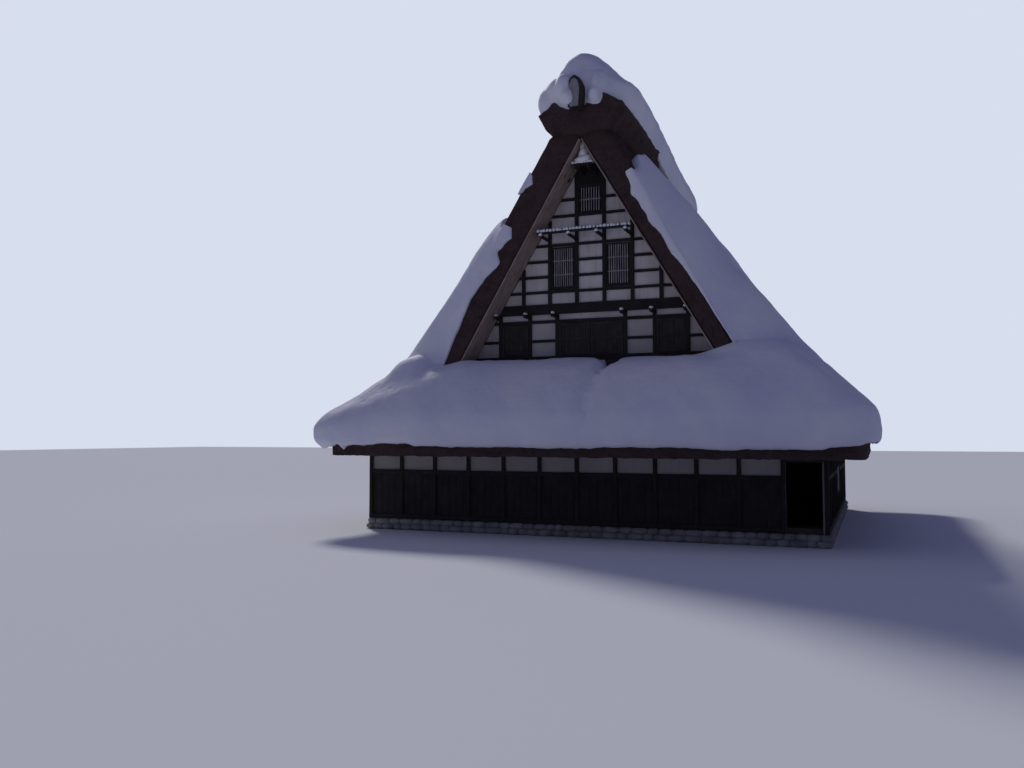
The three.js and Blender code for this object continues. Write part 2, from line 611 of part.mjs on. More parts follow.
function roofSnow() {
  const sideBody = (side, hip) => {
    const skirt = skirtSnow(SNOW[side], [SNOW[hip], SNOW[hip]], GABLE_Y, EAVE_Y, BEND_X, EAVE_X);
    return solid(skirt.rotateZ(Math.PI / 2)).add(solid(slopeSnow(side, 0)));
  };
  put('right_snow', geometryOf(sideBody('right', 'rightHip')), 'snow');
  put('left_snow', flipped(geometryOf(sideBody('left', 'leftHip'))), 'snow');
  const keepOut = [
    mainRoofBody(1), solid(flipped(geometryOf(mainRoofBody(1)))),
    solid(slopeSnow('right', GAP)),
    solid(flipped(slopeSnow('left', GAP))),
    solid(soffitBoards(1)), solid(turnAbout(soffitBoards(1))),
  ];
  const endHip = (hip) => [...UNDER_SLOPES, ...hip.slice(UNDER_SLOPES.length)];
  const endHips = [endHip(SNOW.leftHip), endHip(SNOW.rightHip)];
  const end = skirtSnow(SNOW.end, endHips, BEND_X, EAVE_X, GABLE_Y, EAVE_Y);
  const trimmed = (body) => geometryOf(keepOut.reduce((left, tool) => left.subtract(tool), body));
  put('front_snow', trimmed(solid(end)), 'snow');
  put('back_snow', trimmed(solid(reversed(end))), 'snow');
}

// The ridge's snow: each surface point stands over one of the ridge below.
function ridgeSnow() {
  const half = [
    [1300, 12960], [1284, 12975], [850, 13360.5], [350, 13362], [302, 13503], [222, 13852], [0, 14000.5],
  ];
  const base = [...half, ...half.slice(0, -1).reverse().map(([x, z]) => [-x, z])];
  const sections = RIDGE_STATIONS.map(([, risen, back]) => {
    const outer = base.map(([x, z], i) => [
      mix(x, mix(FRONT_CREST[i][0], BACK_CREST[i][0], back), risen),
      mix(z, mix(FRONT_CREST[i][1], BACK_CREST[i][1], back), risen),
    ]);
    return [...outer, ...base.slice().reverse()];
  });
  put('ridge_snow', loft(sections, (x, z, k) => [x, RIDGE_STATIONS[k][0], z]), 'snow');
}

footingAndFloor();
groundWalls();
groundFrames();
innerPosts();
loftFloors();
gableWall();
gableFrames();
gablePoles();
gableOpenings();
mainRoofs();
skirtRoof();
frontAndBack('soffit', soffitBoards(0), 'boards');
ridge();
roofSnow();
ridgeSnow();

export default house;
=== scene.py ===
"""A thatched, half-timbered farmhouse deep in snow.

Metres, +Z up, origin on the ground at the middle of the plan. The front gable
faces -Y. New pieces are numpy surfaces: grids of points worked out from the
house's driving sizes and joined into meshes.
"""
import json
import math

import bpy
import numpy as np
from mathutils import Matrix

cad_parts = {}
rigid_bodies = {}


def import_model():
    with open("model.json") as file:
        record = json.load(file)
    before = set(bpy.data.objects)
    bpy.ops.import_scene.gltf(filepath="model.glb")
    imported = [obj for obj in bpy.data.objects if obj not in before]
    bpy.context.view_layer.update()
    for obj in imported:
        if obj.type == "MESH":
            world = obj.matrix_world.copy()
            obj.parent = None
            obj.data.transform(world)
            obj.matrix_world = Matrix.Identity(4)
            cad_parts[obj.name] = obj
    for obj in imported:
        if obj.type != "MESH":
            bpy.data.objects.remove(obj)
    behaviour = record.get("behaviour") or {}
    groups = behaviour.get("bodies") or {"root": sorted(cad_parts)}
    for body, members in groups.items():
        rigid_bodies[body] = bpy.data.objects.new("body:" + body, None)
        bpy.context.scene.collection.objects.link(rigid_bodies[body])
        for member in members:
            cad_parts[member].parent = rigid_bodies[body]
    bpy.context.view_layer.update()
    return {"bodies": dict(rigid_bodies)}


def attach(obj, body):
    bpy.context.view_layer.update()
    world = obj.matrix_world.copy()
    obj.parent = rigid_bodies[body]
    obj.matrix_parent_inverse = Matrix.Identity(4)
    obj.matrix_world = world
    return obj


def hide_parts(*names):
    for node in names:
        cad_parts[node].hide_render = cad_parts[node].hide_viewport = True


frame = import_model()
BODY = list(frame["bodies"])[0]

# Driving sizes of the roof, the same as in the part.
GABLE_Y = 5.45
VERGE_Y = 6.45
EAVE_X, EAVE_Y = 8.1, 8.25
EAVE_TOP, EAVE_LOW = 2.85, 2.4
BEND_X, BEND_Z = 4.69, 5.4
SHOULDER_X, SHOULDER_Z = 1.0, 12.37
APEX_Z = 12.75
SOFFIT_APEX, SOFFIT_SLOPE = 12.25, 1.68
SKIRT_THICK = 0.575
SKIRT_SLOPE = (BEND_Z - EAVE_TOP) / (EAVE_X - BEND_X)
END_SLOPE = (BEND_Z - EAVE_TOP) / (EAVE_Y - GABLE_Y)

# Walls and timbers.
WALL_X, WALL_Y = 7.1, 6.95
FOOTING_TOP, FLOOR_TOP = 0.35, 0.5
DADO_TOP, DOOR_TOP, LINTEL_Z = 1.8, 2.3, 2.48
TIMBER, POST, RAIL = 0.07, 0.12, 0.09
BAYS = 12
BAY = 2 * WALL_X / BAYS
# Heights of the side windows, and a bay's width up to the next post: the side windows are twice as
# wide, and the open bay in front is as wide with its corner post.
WINDOW_LOW, WINDOW_HIGH = 1.1, 2.0
CLEAR = BAY - POST / 2
# Heights in the gables, and places of the posts from the middle.
GABLE_FOOT, SILL_Z, LOW_RAIL_Z, HEAD_Z = 4.825, 5.51, 6.06, 6.68
TIE_LOW, TIE_HIGH = 6.92, 7.25
GABLE_RAILS = [7.64, 8.14, 8.64, 9.15, 9.63, 10.08, 10.6]
LOWER_POSTS = [1.12, 2.05, 3.08]
UPPER_POSTS = [0.4545, 1.3635, 2.2725]
HEADER_LOW, HEADER_TOP = 10.99, 11.7
POLE_Y, POLE_R = -6.27, 0.045
# Poles on arms in front of each gable: half length, height, places of the arms, how far they run in.
POLES = {"gable_pole": (1.5, 9.38, UPPER_POSTS[:2], 0.0), "top_pole": (0.32, 11.45, [0.2], 0.015)}
ARMS = sorted(sign * x for x in LOWER_POSTS for sign in (-1, 1))

# Snow heights over shares of the way from the bend of the roof to the eave,
# then round its overhanging edge, as in the part.
SHARES = [0, 0.2, 0.325, 0.53, 0.69, 0.85, 1, 1.08, 1.1, 1.08, 1.01, 1.0]
LIP_HEIGHTS = [3.2, 2.72, 2.62, 2.8]
SKIRT_SNOW = {
    "end": [5.36, 5.4, 5.42, 5.22, 4.9, 4.45, 3.95, 3.6],
    "left_hip": [5.25, 5.5, 5.6, 5.28, 4.74, 4.2, 3.75, 3.42],
    "right_hip": [5.3, 5.58, 5.76, 5.48, 5.0, 4.45, 3.98, 3.72],
    "left": [5.6, 5.7, 5.6, 5.2, 4.75, 4.28, 3.8, 3.5],
    "right": [5.6, 5.74, 5.8, 5.55, 5.05, 4.54, 4.06, 3.75],
}
# Section of each main slope's thatch, from the ridge down to its foot: x, z.
THATCH_LINE = {
    "left": [(0, APEX_Z), (SHOULDER_X, SHOULDER_Z), (1.32, 11.84), (1.96, 10.79), (2.47, 9.94), (2.96, 9.0),
             (3.37, 8.2), (3.88, 7.2), (4.48, 6.0), (BEND_X, BEND_Z), (5.22, 4.4)],
    "right": [(0, APEX_Z), (SHOULDER_X, SHOULDER_Z), (BEND_X, BEND_Z), (5.22, 4.4)],
}
# Snow on the main slopes and on down over the skirt, from the top: x, z.
SLOPE_SNOW = {
    "left": [(2.45, 10.12), (2.9, 10.06), (3.38, 9.55), (3.94, 8.88), (4.69, 7.85), (5.04, 7.3),
             (5.53, 6.65), (5.9, 6.1), (6.5, 5.35), (7.5, 4.0), (8.6, 2.3)],
    "right": [(1.42, 12.12), (1.6, 12.02), (2.0, 11.54), (2.3, 11.18), (3.0, 10.32), (3.9, 8.9),
              (4.69, 7.84), (5.37, 6.99), (5.8, 6.42), (6.5, 5.5), (7.5, 4.14), (8.6, 2.3)],
}
# How far behind the verge the slopes' snow is at its full depth, how far its
# top edge draws back beside the verge, and how far it hangs over the verge's
# face, measured along X, at each height. 0.88 of that lies straight into the roof.
SLOPE_EDGE = {"left": 0.75, "right": 1.5}
TOP_DRAW = {"left": 0.1, "right": 0.22}
HANG = {
    "left": [(5.4, 0.0), (7.1, 0.06), (7.4, 0.04), (7.9, 0.2), (8.3, 0.32), (8.7, 0.5), (9.1, 0.4),
             (9.5, 0.42), (9.85, 0.2), (10.1, 0.0)],
    "right": [(5.4, 0.0), (6.3, 0.02), (7.1, 0.06), (8.1, 0.17), (8.8, 0.28), (9.7, 0.28), (10.4, 0.34),
              (10.9, 0.24), (11.4, 0.1), (11.65, 0.0)],
}
HANG_SHARE = 0.88
# Direction straight into the main slopes' thickness: inwards along X, and down.
INWARD, DOWN = 0.884, 0.468
SIDES = {"left": -1, "right": 1}


# Numbers

def smooth(t):
    """3t² - 2t³, with t held between 0 and 1."""
    t = np.clip(t, 0, 1)
    return t * t * (3 - 2 * t)


def blend_max(a, b, soft):
    """The larger of a and b, with a round fillet where they differ by less than soft."""
    h = np.clip(0.5 + 0.5 * (a - b) / soft, 0, 1)
    return b + (a - b) * h + soft * h * (1 - h)


def rounded(x, xs, ys, width):
    """The broken line through xs, ys at x, its corners rounded by averaging it over the width."""
    steps = np.linspace(-width / 2, width / 2, 9)
    return np.mean([np.interp(x + step, xs, ys) for step in steps], axis=0)


def grid_of(x, y, z):
    """Points from their numbers along X, Y and Z, each spread over the whole grid."""
    return np.stack(np.broadcast_arrays(x, y, z), -1).astype(float)


def full_turn(count):
    """Angles evenly round a circle."""
    return np.linspace(0, 2 * math.pi, count, endpoint=False)


LATTICE = 32


def noise(points, size, seed):
    """Smooth random values from -1 to 1: random numbers on the corners of a lattice of boxes of
    the given size, blended between the corners by 3t² - 2t³."""
    table = np.random.RandomState(seed).uniform(-1, 1, (LATTICE,) * 3)
    cell = points / np.asarray(size, float)
    low = np.floor(cell).astype(int)
    part = smooth(cell - low)
    total = np.zeros(points.shape[:-1])
    for corner in np.ndindex(2, 2, 2):
        i, j, k = np.moveaxis((low + corner) % LATTICE, -1, 0)
        total += table[i, j, k] * np.prod(np.where(corner, part, 1 - part), axis=-1)
    return total


def layered(points, size, seed, layers=3):
    """Noise with finer and weaker noise added, each layer half the size and half the height."""
    size = np.asarray(size, float)
    return sum(noise(points, size / 2 ** k, seed + k) / 2 ** k for k in range(layers))


def shaken(points, size, height, seed, layers=3):
    """Points moved along X, Y and Z by noise of their own, so that shared points stay shared."""
    moves = [layered(points, size, seed + 10 * axis, layers) for axis in range(3)]
    return points + height * np.stack(moves, axis=-1)


# Meshes: a part is (points, triangles, corner uv)

def sheet(grid, flip=False):
    """Two triangles for each cell of a grid of points, with uv as metres along and across it."""
    rows, columns = grid.shape[:2]
    steps_v = np.linalg.norm(np.diff(grid, axis=0), axis=2).mean(axis=1)
    steps_u = np.linalg.norm(np.diff(grid, axis=1), axis=2).mean(axis=0)
    v = np.concatenate([[0], np.cumsum(steps_v)])
    u = np.concatenate([[0], np.cumsum(steps_u)])
    uv = np.stack(np.broadcast_arrays(u[None, :], v[:, None]), axis=-1).reshape(-1, 2)
    index = np.arange(rows * columns).reshape(rows, columns)
    corners = index[:-1, :-1], index[:-1, 1:], index[1:, 1:], index[1:, :-1]
    a, b, c, d = (corner.reshape(-1) for corner in corners)
    triangles = np.concatenate([np.stack([a, b, c], -1), np.stack([a, c, d], -1)])
    if flip:
        triangles = triangles[:, ::-1]
    return grid.reshape(-1, 3), triangles, uv[triangles]


def welded(part):
    """The same part with points that coincide made one, and triangles without area left out."""
    points, triangles, uv = part
    _, first, back = np.unique(np.round(points, 5), axis=0, return_index=True, return_inverse=True)
    triangles = back.reshape(-1)[triangles]
    a, b, c = triangles.T
    whole = (a != b) & (b != c) & (a != c)
    return points[first], triangles[whole], uv[whole]


def outward(part):
    """A closed part with its faces turned outwards: its volume as a sum of tetrahedra is above 0."""
    points, triangles, uv = part
    a, b, c = (points[triangles[:, k]] for k in range(3))
    volume = np.einsum("ij,ij->i", a, np.cross(b, c)).sum()
    if volume < 0:
        return points, triangles[:, ::-1], uv[:, ::-1]
    return part


def joined(parts):
    """Several parts as one, each keeping its own points."""
    points, triangles, uv = zip(*parts)
    starts = np.cumsum([0] + [len(p) for p in points])
    moved = [t + start for t, start in zip(triangles, starts)]
    return np.concatenate(points), np.concatenate(moved), np.concatenate(uv)


def tube(rings):
    """A closed skin over rings of points (ring, place on it, xyz), with a fan at each end."""
    rings = np.concatenate([rings, rings[:, :1]], axis=1)
    middles = np.broadcast_to(rings[[0, -1], :-1].mean(axis=1, keepdims=True), (2, rings.shape[1], 3))
    grid = np.concatenate([middles[:1], rings, middles[1:]])
    return outward(welded(sheet(grid)))


def turned(part, angle=math.pi):
    """The part turned about the Z axis."""
    c, s = math.cos(angle), math.sin(angle)
    points, triangles, uv = part
    return points @ np.array([[c, s, 0], [-s, c, 0], [0, 0, 1]]), triangles, uv


def put(name, data):
    """A new object in the scene, at the origin."""
    made = bpy.data.objects.new(name, data)
    bpy.context.scene.collection.objects.link(made)
    return made


def piece(name, parts, material, nodes, sharp=40):
    """Makes the parts one object that rides on the house and stands for the named nodes."""
    points, triangles, uv = joined(parts)
    mesh = bpy.data.meshes.new(name)
    mesh.from_pydata(points, [], triangles.tolist())
    mesh.uv_layers.new(name="UVMap").data.foreach_set("uv", uv.reshape(-1))
    mesh.polygons.foreach_set("use_smooth", np.ones(len(triangles), bool))
    mesh.set_sharp_from_angle(angle=math.radians(sharp))
    mesh.materials.append(material)
    mesh.update()
    made = put(name, mesh)
    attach(made, BODY)
    if nodes:
        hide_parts(*nodes)
    return made


def both_gables(name, part, material, node, sharp=40):
    """A piece of the front gable, and the same turned to the back; each may stand for a node."""
    for end, made in (("front", part), ("back", turned(part))):
        piece(f"{end}_{name}", [made], material, [f"{end}_{node}"] if node else [], sharp)


def rounded_rectangle(width, depth, radius, steps=3):
    """The outline of a rectangle, each corner an arc of the given number of points."""
    angles = np.linspace(0, math.pi / 2, steps)
    corners = []
    for quarter, (sx, sy) in enumerate([(1, 1), (-1, 1), (-1, -1), (1, -1)]):
        centre = np.array([sx * (width / 2 - radius), sy * (depth / 2 - radius)])
        turn = angles + quarter * math.pi / 2
        corners.append(centre + radius * np.stack([np.cos(turn), np.sin(turn)], -1))
    return np.concatenate(corners)


def carried(outline, start, end, across, seed, wander=0.004, step=0.3):
    """An outline carried from start to end; noise of a few millimetres keeps it from being straight.
    The outline's first number is measured along across, its second at right angles to it."""
    start, end, across = (np.asarray(v, float) for v in (start, end, across))
    length = np.linalg.norm(end - start)
    along = (end - start) / length
    deep = np.cross(along, across)
    share = np.linspace(0, 1, max(3, int(length / step) + 1))[:, None]
    spine = start + share * (end - start)
    far = spine + seed * 1.37
    spine = spine + wander * (noise(far, 1.3, 5)[:, None] * across + noise(far, 1.1, 6)[:, None] * deep)
    rings = spine[:, None] + outline[None, :, :1] * across + outline[None, :, 1:] * deep
    rings = rings + wander * 0.6 * np.stack([noise(rings + seed, 0.35, 7 + k) for k in range(3)], -1)
    points, triangles, uv = tube(rings)
    return points, triangles, uv + np.array([seed * 0.731 % 9, seed * 1.913 % 17])


def beam(start, end, width, depth, across, seed):
    """A hewn beam with worn corners."""
    radius = min(width, depth) * 0.16
    return carried(rounded_rectangle(width, depth, radius), start, end, across, seed)


def upright(x, y, z0, z1, wide, deep, seed):
    """A beam that stands from z0 to z1, wide along X and deep along Y."""
    return beam((x, y, z0), (x, y, z1), wide, deep, (1, 0, 0), seed)


def level(x0, x1, y, z, deep, high, seed):
    """A beam that lies along X from x0 to x1, deep along Y and high along Z."""
    return beam((x0, y, z), (x1, y, z), deep, high, (0, 1, 0), seed)


def pole(start, end, radius, seed, wander=0.008):
    """A round pole, a little crooked."""
    angles = full_turn(16)
    outline = radius * np.stack([np.cos(angles), np.sin(angles)], -1)
    return carried(outline, start, end, (0, 0, 1), seed, wander, 0.15)


# Materials

def shade(tree, kind, inputs=(), **settings):
    """Adds a shader node, sets it up and fills or links its inputs."""
    node = tree.nodes.new("ShaderNode" + kind)
    for key, value in settings.items():
        setattr(node, key, value)
    for key, value in dict(inputs).items():
        if isinstance(value, bpy.types.NodeSocket):
            tree.links.new(value, node.inputs[key])
        else:
            node.inputs[key].default_value = value
    return node


def colour(*rgb):
    """A colour with full opacity."""
    return (*rgb, 1.0)


def dimmed(share, tint):
    """A colour darkened to a share of its strength."""
    return colour(*(share * c for c in tint[:3]))


def object_place(tree):
    """Object coordinates."""
    return shade(tree, "TexCoord").outputs["Object"]


def uv_place(tree):
    """The piece's own uv, in metres."""
    return shade(tree, "UVMap", uv_map="UVMap").outputs["UV"]


def noise_value(tree, vector, scale, detail=4.0, roughness=0.6, distortion=0.0):
    """The value of a noise texture."""
    inputs = {"Vector": vector, "Scale": scale, "Detail": detail, "Roughness": roughness}
    return shade(tree, "TexNoise", {**inputs, "Distortion": distortion}).outputs["Fac"]


def stretched(tree, vector, x, y, z):
    """A vector scaled along each axis."""
    return shade(tree, "Mapping", {"Vector": vector, "Scale": (x, y, z)}).outputs["Vector"]


def spread(tree, value, low, high, to_low=0.0, to_high=1.0):
    """Stretches a value from low..high to another range and holds it there."""
    inputs = {"Value": value, "From Min": low, "From Max": high, "To Min": to_low, "To Max": to_high}
    return shade(tree, "MapRange", inputs).outputs["Result"]


def sums(tree, operation, a, b):
    """Arithmetic on two values."""
    return shade(tree, "Math", {0: a, 1: b}, operation=operation).outputs[0]


def added(tree, a, b, times):
    """a + b · times."""
    return sums(tree, "ADD", a, sums(tree, "MULTIPLY", b, times))


def mixed(tree, share, a, b):
    """Colour a changed towards colour b by the share."""
    return shade(tree, "Mix", {0: share, 6: a, 7: b}, data_type="RGBA").outputs[2]


def stained(tree, base, value, low, high, tint, most=1.0):
    """The base colour changed towards a tint by a value, stretched from low..high to 0..most."""
    return mixed(tree, spread(tree, value, low, high, 0.0, most), base, tint)


def shader_group(name, given, kind, results, fill):
    """A node group with one input; fill(tree, input) returns the socket for each result."""
    tree = bpy.data.node_groups.new(name, "ShaderNodeTree")
    tree.interface.new_socket(given, in_out="INPUT", socket_type=kind)
    for label in results:
        tree.interface.new_socket(label, in_out="OUTPUT", socket_type="NodeSocketFloat")
    source = tree.nodes.new("NodeGroupInput")
    sink = tree.nodes.new("NodeGroupOutput")
    for socket, value in zip(sink.inputs, fill(tree, source.outputs[0])):
        tree.links.new(value, socket)
    return tree


def fill_grain(tree, vector):
    """Long fibres and broad blotches along the second axis of the vector."""
    fibre = noise_value(tree, stretched(tree, vector, 46, 1.6, 46), 1.0, 6.0, 0.65)
    crack = noise_value(tree, stretched(tree, vector, 20, 0.7, 20), 1.0, 3.0, 0.5, 0.4)
    blotch = noise_value(tree, vector, 1.7)
    return fibre, blotch, added(tree, fibre, spread(tree, crack, 0.42, 0.5), 1.4)


def fill_frost(tree, amount):
    """How much snow dust clings: most where a face looks up, in patches."""
    normal = shade(tree, "NewGeometry").outputs["Normal"]
    up = shade(tree, "SeparateXYZ", {0: normal}).outputs[2]
    patch = noise_value(tree, object_place(tree), 6.0, 6.0, 0.7)
    return (spread(tree, added(tree, patch, spread(tree, up, 0.35, 0.95), amount), 0.95, 1.25),)


def fill_stain(tree, vector):
    """Broad clouds, fine dirt and runs down a wall."""
    cloud = noise_value(tree, vector, 0.9, 5.0)
    runs = noise_value(tree, stretched(tree, vector, 9, 9, 0.8), 1.0, 5.0, 0.65)
    fine = noise_value(tree, vector, 38.0, 4.0, 0.7)
    return cloud, runs, fine


GRAIN = shader_group("long_grain", "Vector", "NodeSocketVector", ["Fibre", "Blotch", "Height"], fill_grain)
FROST = shader_group("frost_dust", "Amount", "NodeSocketFloat", ["Mask"], fill_frost)
STAIN = shader_group("wall_stain", "Vector", "NodeSocketVector", ["Cloud", "Runs", "Fine"], fill_stain)
FROST_COLOUR = colour(0.72, 0.76, 0.84)


def placed(tree, group, inputs):
    """The outputs of a node group placed in a material."""
    return shade(tree, "Group", inputs, node_tree=group).outputs


def frosted(tree, base, amount):
    """The base colour under its frost."""
    return mixed(tree, placed(tree, FROST, {"Amount": amount})["Mask"], base, FROST_COLOUR)


def new_material(name, gloss):
    """A material with its own Principled BSDF, whose specular level is set on its socket."""
    made = bpy.data.materials.new(name)
    made.use_nodes = True
    shader = made.node_tree.nodes["Principled BSDF"]
    shader.inputs["Specular IOR Level"].default_value = gloss
    return made, made.node_tree, shader


def finish_surface(tree, shader, base, grit, rough, height, strength, distance):
    """Links the colour, a roughness that runs with the grit from one value to another, and a bump."""
    bump = shade(tree, "Bump", {"Height": height, "Strength": strength, "Distance": distance})
    tree.links.new(base, shader.inputs["Base Color"])
    tree.links.new(spread(tree, grit, 0.3, 0.7, *rough), shader.inputs["Roughness"])
    tree.links.new(bump.outputs["Normal"], shader.inputs["Normal"])


def wood_material(name, dark, light, frost, place=uv_place, bump=0.35):
    """Old timber: grain along the beam, blotches of smoke and weather, a little frost on top."""
    made, tree, shader = new_material(name, 0.3)
    fibre, blotch, height = placed(tree, GRAIN, {"Vector": place(tree)})
    base = stained(tree, dark, fibre, 0.3, 0.72, light)
    base = stained(tree, base, blotch, 0.35, 0.7, dimmed(0.45, dark), 0.55)
    finish_surface(tree, shader, frosted(tree, base, frost), fibre, (0.68, 0.9), height, bump, 0.006)
    return made


def plaster_material(name, light, dark):
    """Lime plaster, trowelled, with clouds of damp, runs of soot and painted shade towards the ground."""
    made, tree, shader = new_material(name, 0.2)
    place = object_place(tree)
    cloud, runs, fine = placed(tree, STAIN, {"Vector": place})
    base = stained(tree, light, cloud, 0.35, 0.7, dark)
    base = stained(tree, base, runs, 0.52, 0.78, dimmed(0.55, dark), 0.5)
    # Painted shade: the colour darkens from 8.2 m down to 5.3 m and below, for the shade under the eaves.
    above_ground = shade(tree, "SeparateXYZ", {0: place}).outputs[2]
    base = mixed(tree, spread(tree, above_ground, 5.3, 8.2, 0.75, 0.0), base, dimmed(0.5, dark))
    height = added(tree, fine, noise_value(tree, place, 7.0, 3.0, 0.5), 2.0)
    finish_surface(tree, shader, base, fine, (0.8, 0.95), height, 0.3, 0.008)
    return made


def thatch_material(name, dark, light, frost, direction):
    """Reed: fine straws along the given scale of the axes, with tufts and worn patches."""
    made, tree, shader = new_material(name, 0.15)
    place = object_place(tree)
    straw = noise_value(tree, stretched(tree, place, *direction), 1.0, 6.0, 0.7)
    tuft = noise_value(tree, place, 3.2, 5.0, 0.7)
    broad = noise_value(tree, place, 0.7, 3.0, 0.5)
    base = stained(tree, dark, straw, 0.3, 0.72, light)
    base = stained(tree, base, tuft, 0.45, 0.75, dimmed(0.35, dark), 0.6)
    base = stained(tree, base, broad, 0.4, 0.7, dimmed(0.7, light), 0.4)
    height = added(tree, straw, tuft, 1.5)
    finish_surface(tree, shader, frosted(tree, base, frost), straw, (0.85, 1.0), height, 0.8, 0.02)
    return made


def snow_material(name, light, shaded):
    """Settled snow: soft drifts of colour, small lumps and a fine grain that catches the light."""
    made, tree, shader = new_material(name, 0.25)
    place = object_place(tree)
    drift = noise_value(tree, place, 0.55, 4.0, 0.55)
    lump = noise_value(tree, place, 4.2, 5.0)
    fine = noise_value(tree, place, 60.0, 3.0, 0.7)
    base = stained(tree, light, drift, 0.3, 0.7, shaded)
    height = added(tree, sums(tree, "MULTIPLY", lump, 3.0), fine, 0.35)
    finish_surface(tree, shader, base, fine, (0.5, 0.8), height, 0.35, 0.02)
    return made


def stone_material(name):
    """Field stone: a grey that changes from place to place, with lichen and frost."""
    made, tree, shader = new_material(name, 0.3)
    place = object_place(tree)
    cell = shade(tree, "TexVoronoi", {"Vector": place, "Scale": 2.4}).outputs["Distance"]
    speck = noise_value(tree, place, 45.0, 5.0, 0.7)
    cloud = noise_value(tree, place, 3.0, 5.0)
    base = stained(tree, colour(0.17, 0.165, 0.155), cell, 0.0, 0.8, colour(0.36, 0.35, 0.33))
    base = stained(tree, base, cloud, 0.4, 0.7, colour(0.11, 0.115, 0.1), 0.6)
    base = stained(tree, base, speck, 0.55, 0.75, colour(0.42, 0.42, 0.4), 0.5)
    height = sums(tree, "ADD", speck, cloud)
    finish_surface(tree, shader, frosted(tree, base, 0.5), speck, (0.7, 0.95), height, 0.5, 0.012)
    return made


# Dark and light colour, amount of frost.
TIMBER_FINISH = wood_material("smoked_timber", colour(0.012, 0.0105, 0.0105), colour(0.045, 0.038, 0.035),
                              0.35)
BOARD_FINISH = wood_material("dark_boards", colour(0.024, 0.021, 0.021), colour(0.075, 0.064, 0.06), 0.25)
FLOOR_FINISH = wood_material("floor_boards", colour(0.05, 0.04, 0.03), colour(0.12, 0.09, 0.07), 0.0,
                             object_place)
BAR_FINISH = wood_material("window_bars", colour(0.28, 0.26, 0.27), colour(0.55, 0.52, 0.53), 0.2)
SOFFIT_FINISH = wood_material("reed_soffit", colour(0.30, 0.225, 0.19), colour(0.60, 0.455, 0.40), 0.0)
BARK_FINISH = wood_material("ridge_bark", colour(0.02, 0.016, 0.015), colour(0.075, 0.06, 0.052), 0.5)
ROLL_END_FINISH = wood_material("roll_ends", colour(0.2, 0.2, 0.22), colour(0.5, 0.5, 0.54), 0.3, bump=0.8)
VERGE_FINISH = thatch_material("trimmed_thatch", colour(0.034, 0.022, 0.023), colour(0.11, 0.072, 0.068),
                               0.3, (30, 6, 30))
STONE_FINISH = stone_material("field_stone")
# Light and darker colour.
PLASTER_FINISH = plaster_material("lime_plaster", colour(0.8, 0.765, 0.74), colour(0.57, 0.535, 0.51))
SNOW_FINISH = snow_material("settled_snow", colour(0.86, 0.87, 0.93), colour(0.72, 0.745, 0.88))
# Painted light: the beads' snow is a brighter copy of the settled snow, for the light they catch.
PAINTED_LIGHT_BEAD_FINISH = snow_material("bead_snow_painted_light", colour(0.95, 0.96, 0.98), colour(0.9, 0.92, 0.96))


# Roof snow

ROWS = np.arange(len(SHARES), dtype=float)
EAVE_ROW = 6.0
# Sizes of the snow's grids, which keep the sheet under 200,000 triangles.
SECTION_ROWS, FRONT_COLUMNS, BACK_COLUMNS, SIDE_COLUMNS, TOP_ROWS = 84, 300, 160, 170, 90


def down_section(s, values):
    """Values given at each row of the section, rounded off, at the places s down it."""
    return rounded(s, ROWS, values, 0.9)


def snow_heights(name):
    """Heights of one section of the skirt's snow, with the common lip."""
    return SKIRT_SNOW[name] + LIP_HEIGHTS


def row_places():
    """Places down the section, about evenly spaced by length: metres of drop and of way out."""
    s = np.linspace(0, len(SHARES) - 1, 800)
    way = down_section(s, SHARES) * 3.1
    drop = down_section(s, snow_heights("end"))
    length = np.concatenate([[0], np.cumsum(np.hypot(np.diff(way), np.diff(drop)))])
    return np.interp(np.linspace(0, length[-1], SECTION_ROWS), length, s)[:, None]


def ways_out(s):
    """Share of the way to the eave at each row, of which the first is at the wall."""
    v = down_section(s, SHARES)
    v[0] = 0
    return v


def slope_height(x, side):
    """Top of the main slope's snow in section."""
    xs, zs = zip(*SLOPE_SNOW[side])
    return rounded(x, xs, zs, 0.5)


def thatch_height(x, side):
    """Top of the thatch in section: the main slope above the bend, the skirt below it."""
    xs, zs = zip(*THATCH_LINE[side])
    return np.where(x < BEND_X, np.interp(x, xs, zs), BEND_Z - (x - BEND_X) * SKIRT_SLOPE)


def slope_snow(x, y, side):
    """The slope's snow over the plan: its thickness falls to nothing at the verge, as 1 - (1 - d/R)²
    of the distance d behind it, and the surface dives on beyond it."""
    behind = (VERGE_Y - np.abs(y)) / SLOPE_EDGE[side]
    share = np.where(behind < 0, 2 * behind, 1 - (1 - np.clip(behind, 0, 1)) ** 2)
    share = np.maximum(share, -1.2)
    bed = thatch_height(x, side)
    return bed + 0.05 + (slope_height(x, side) - bed) * share


def end_plan(t, v):
    """Plan of the snow below a gable: t from hip to hip, v from the wall to the eave. It widens only
    beyond the verges' feet, from which the hips run to the corners of the eave, and towards the hips
    its inner edge steps out from the wall to those feet."""
    step = (VERGE_Y - GABLE_Y) * (1 - np.minimum(v, 1)) * smooth((np.abs(t) - 0.86) / 0.14)
    out = GABLE_Y + (EAVE_Y - GABLE_Y) * v + step
    beyond = np.where(v > 1, v, np.clip((out - VERGE_Y) / (EAVE_Y - VERGE_Y), 0, 1))
    return t * (BEND_X + (EAVE_X - BEND_X) * beyond), out


def eave_shares(x, y):
    """Shares of the way from the bend to the eave along X and from the gable to the eave along Y."""
    u = np.maximum(0, (np.abs(x) - BEND_X) / (EAVE_X - BEND_X))
    return u, np.maximum(0, (np.abs(y) - GABLE_Y) / (EAVE_Y - GABLE_Y))


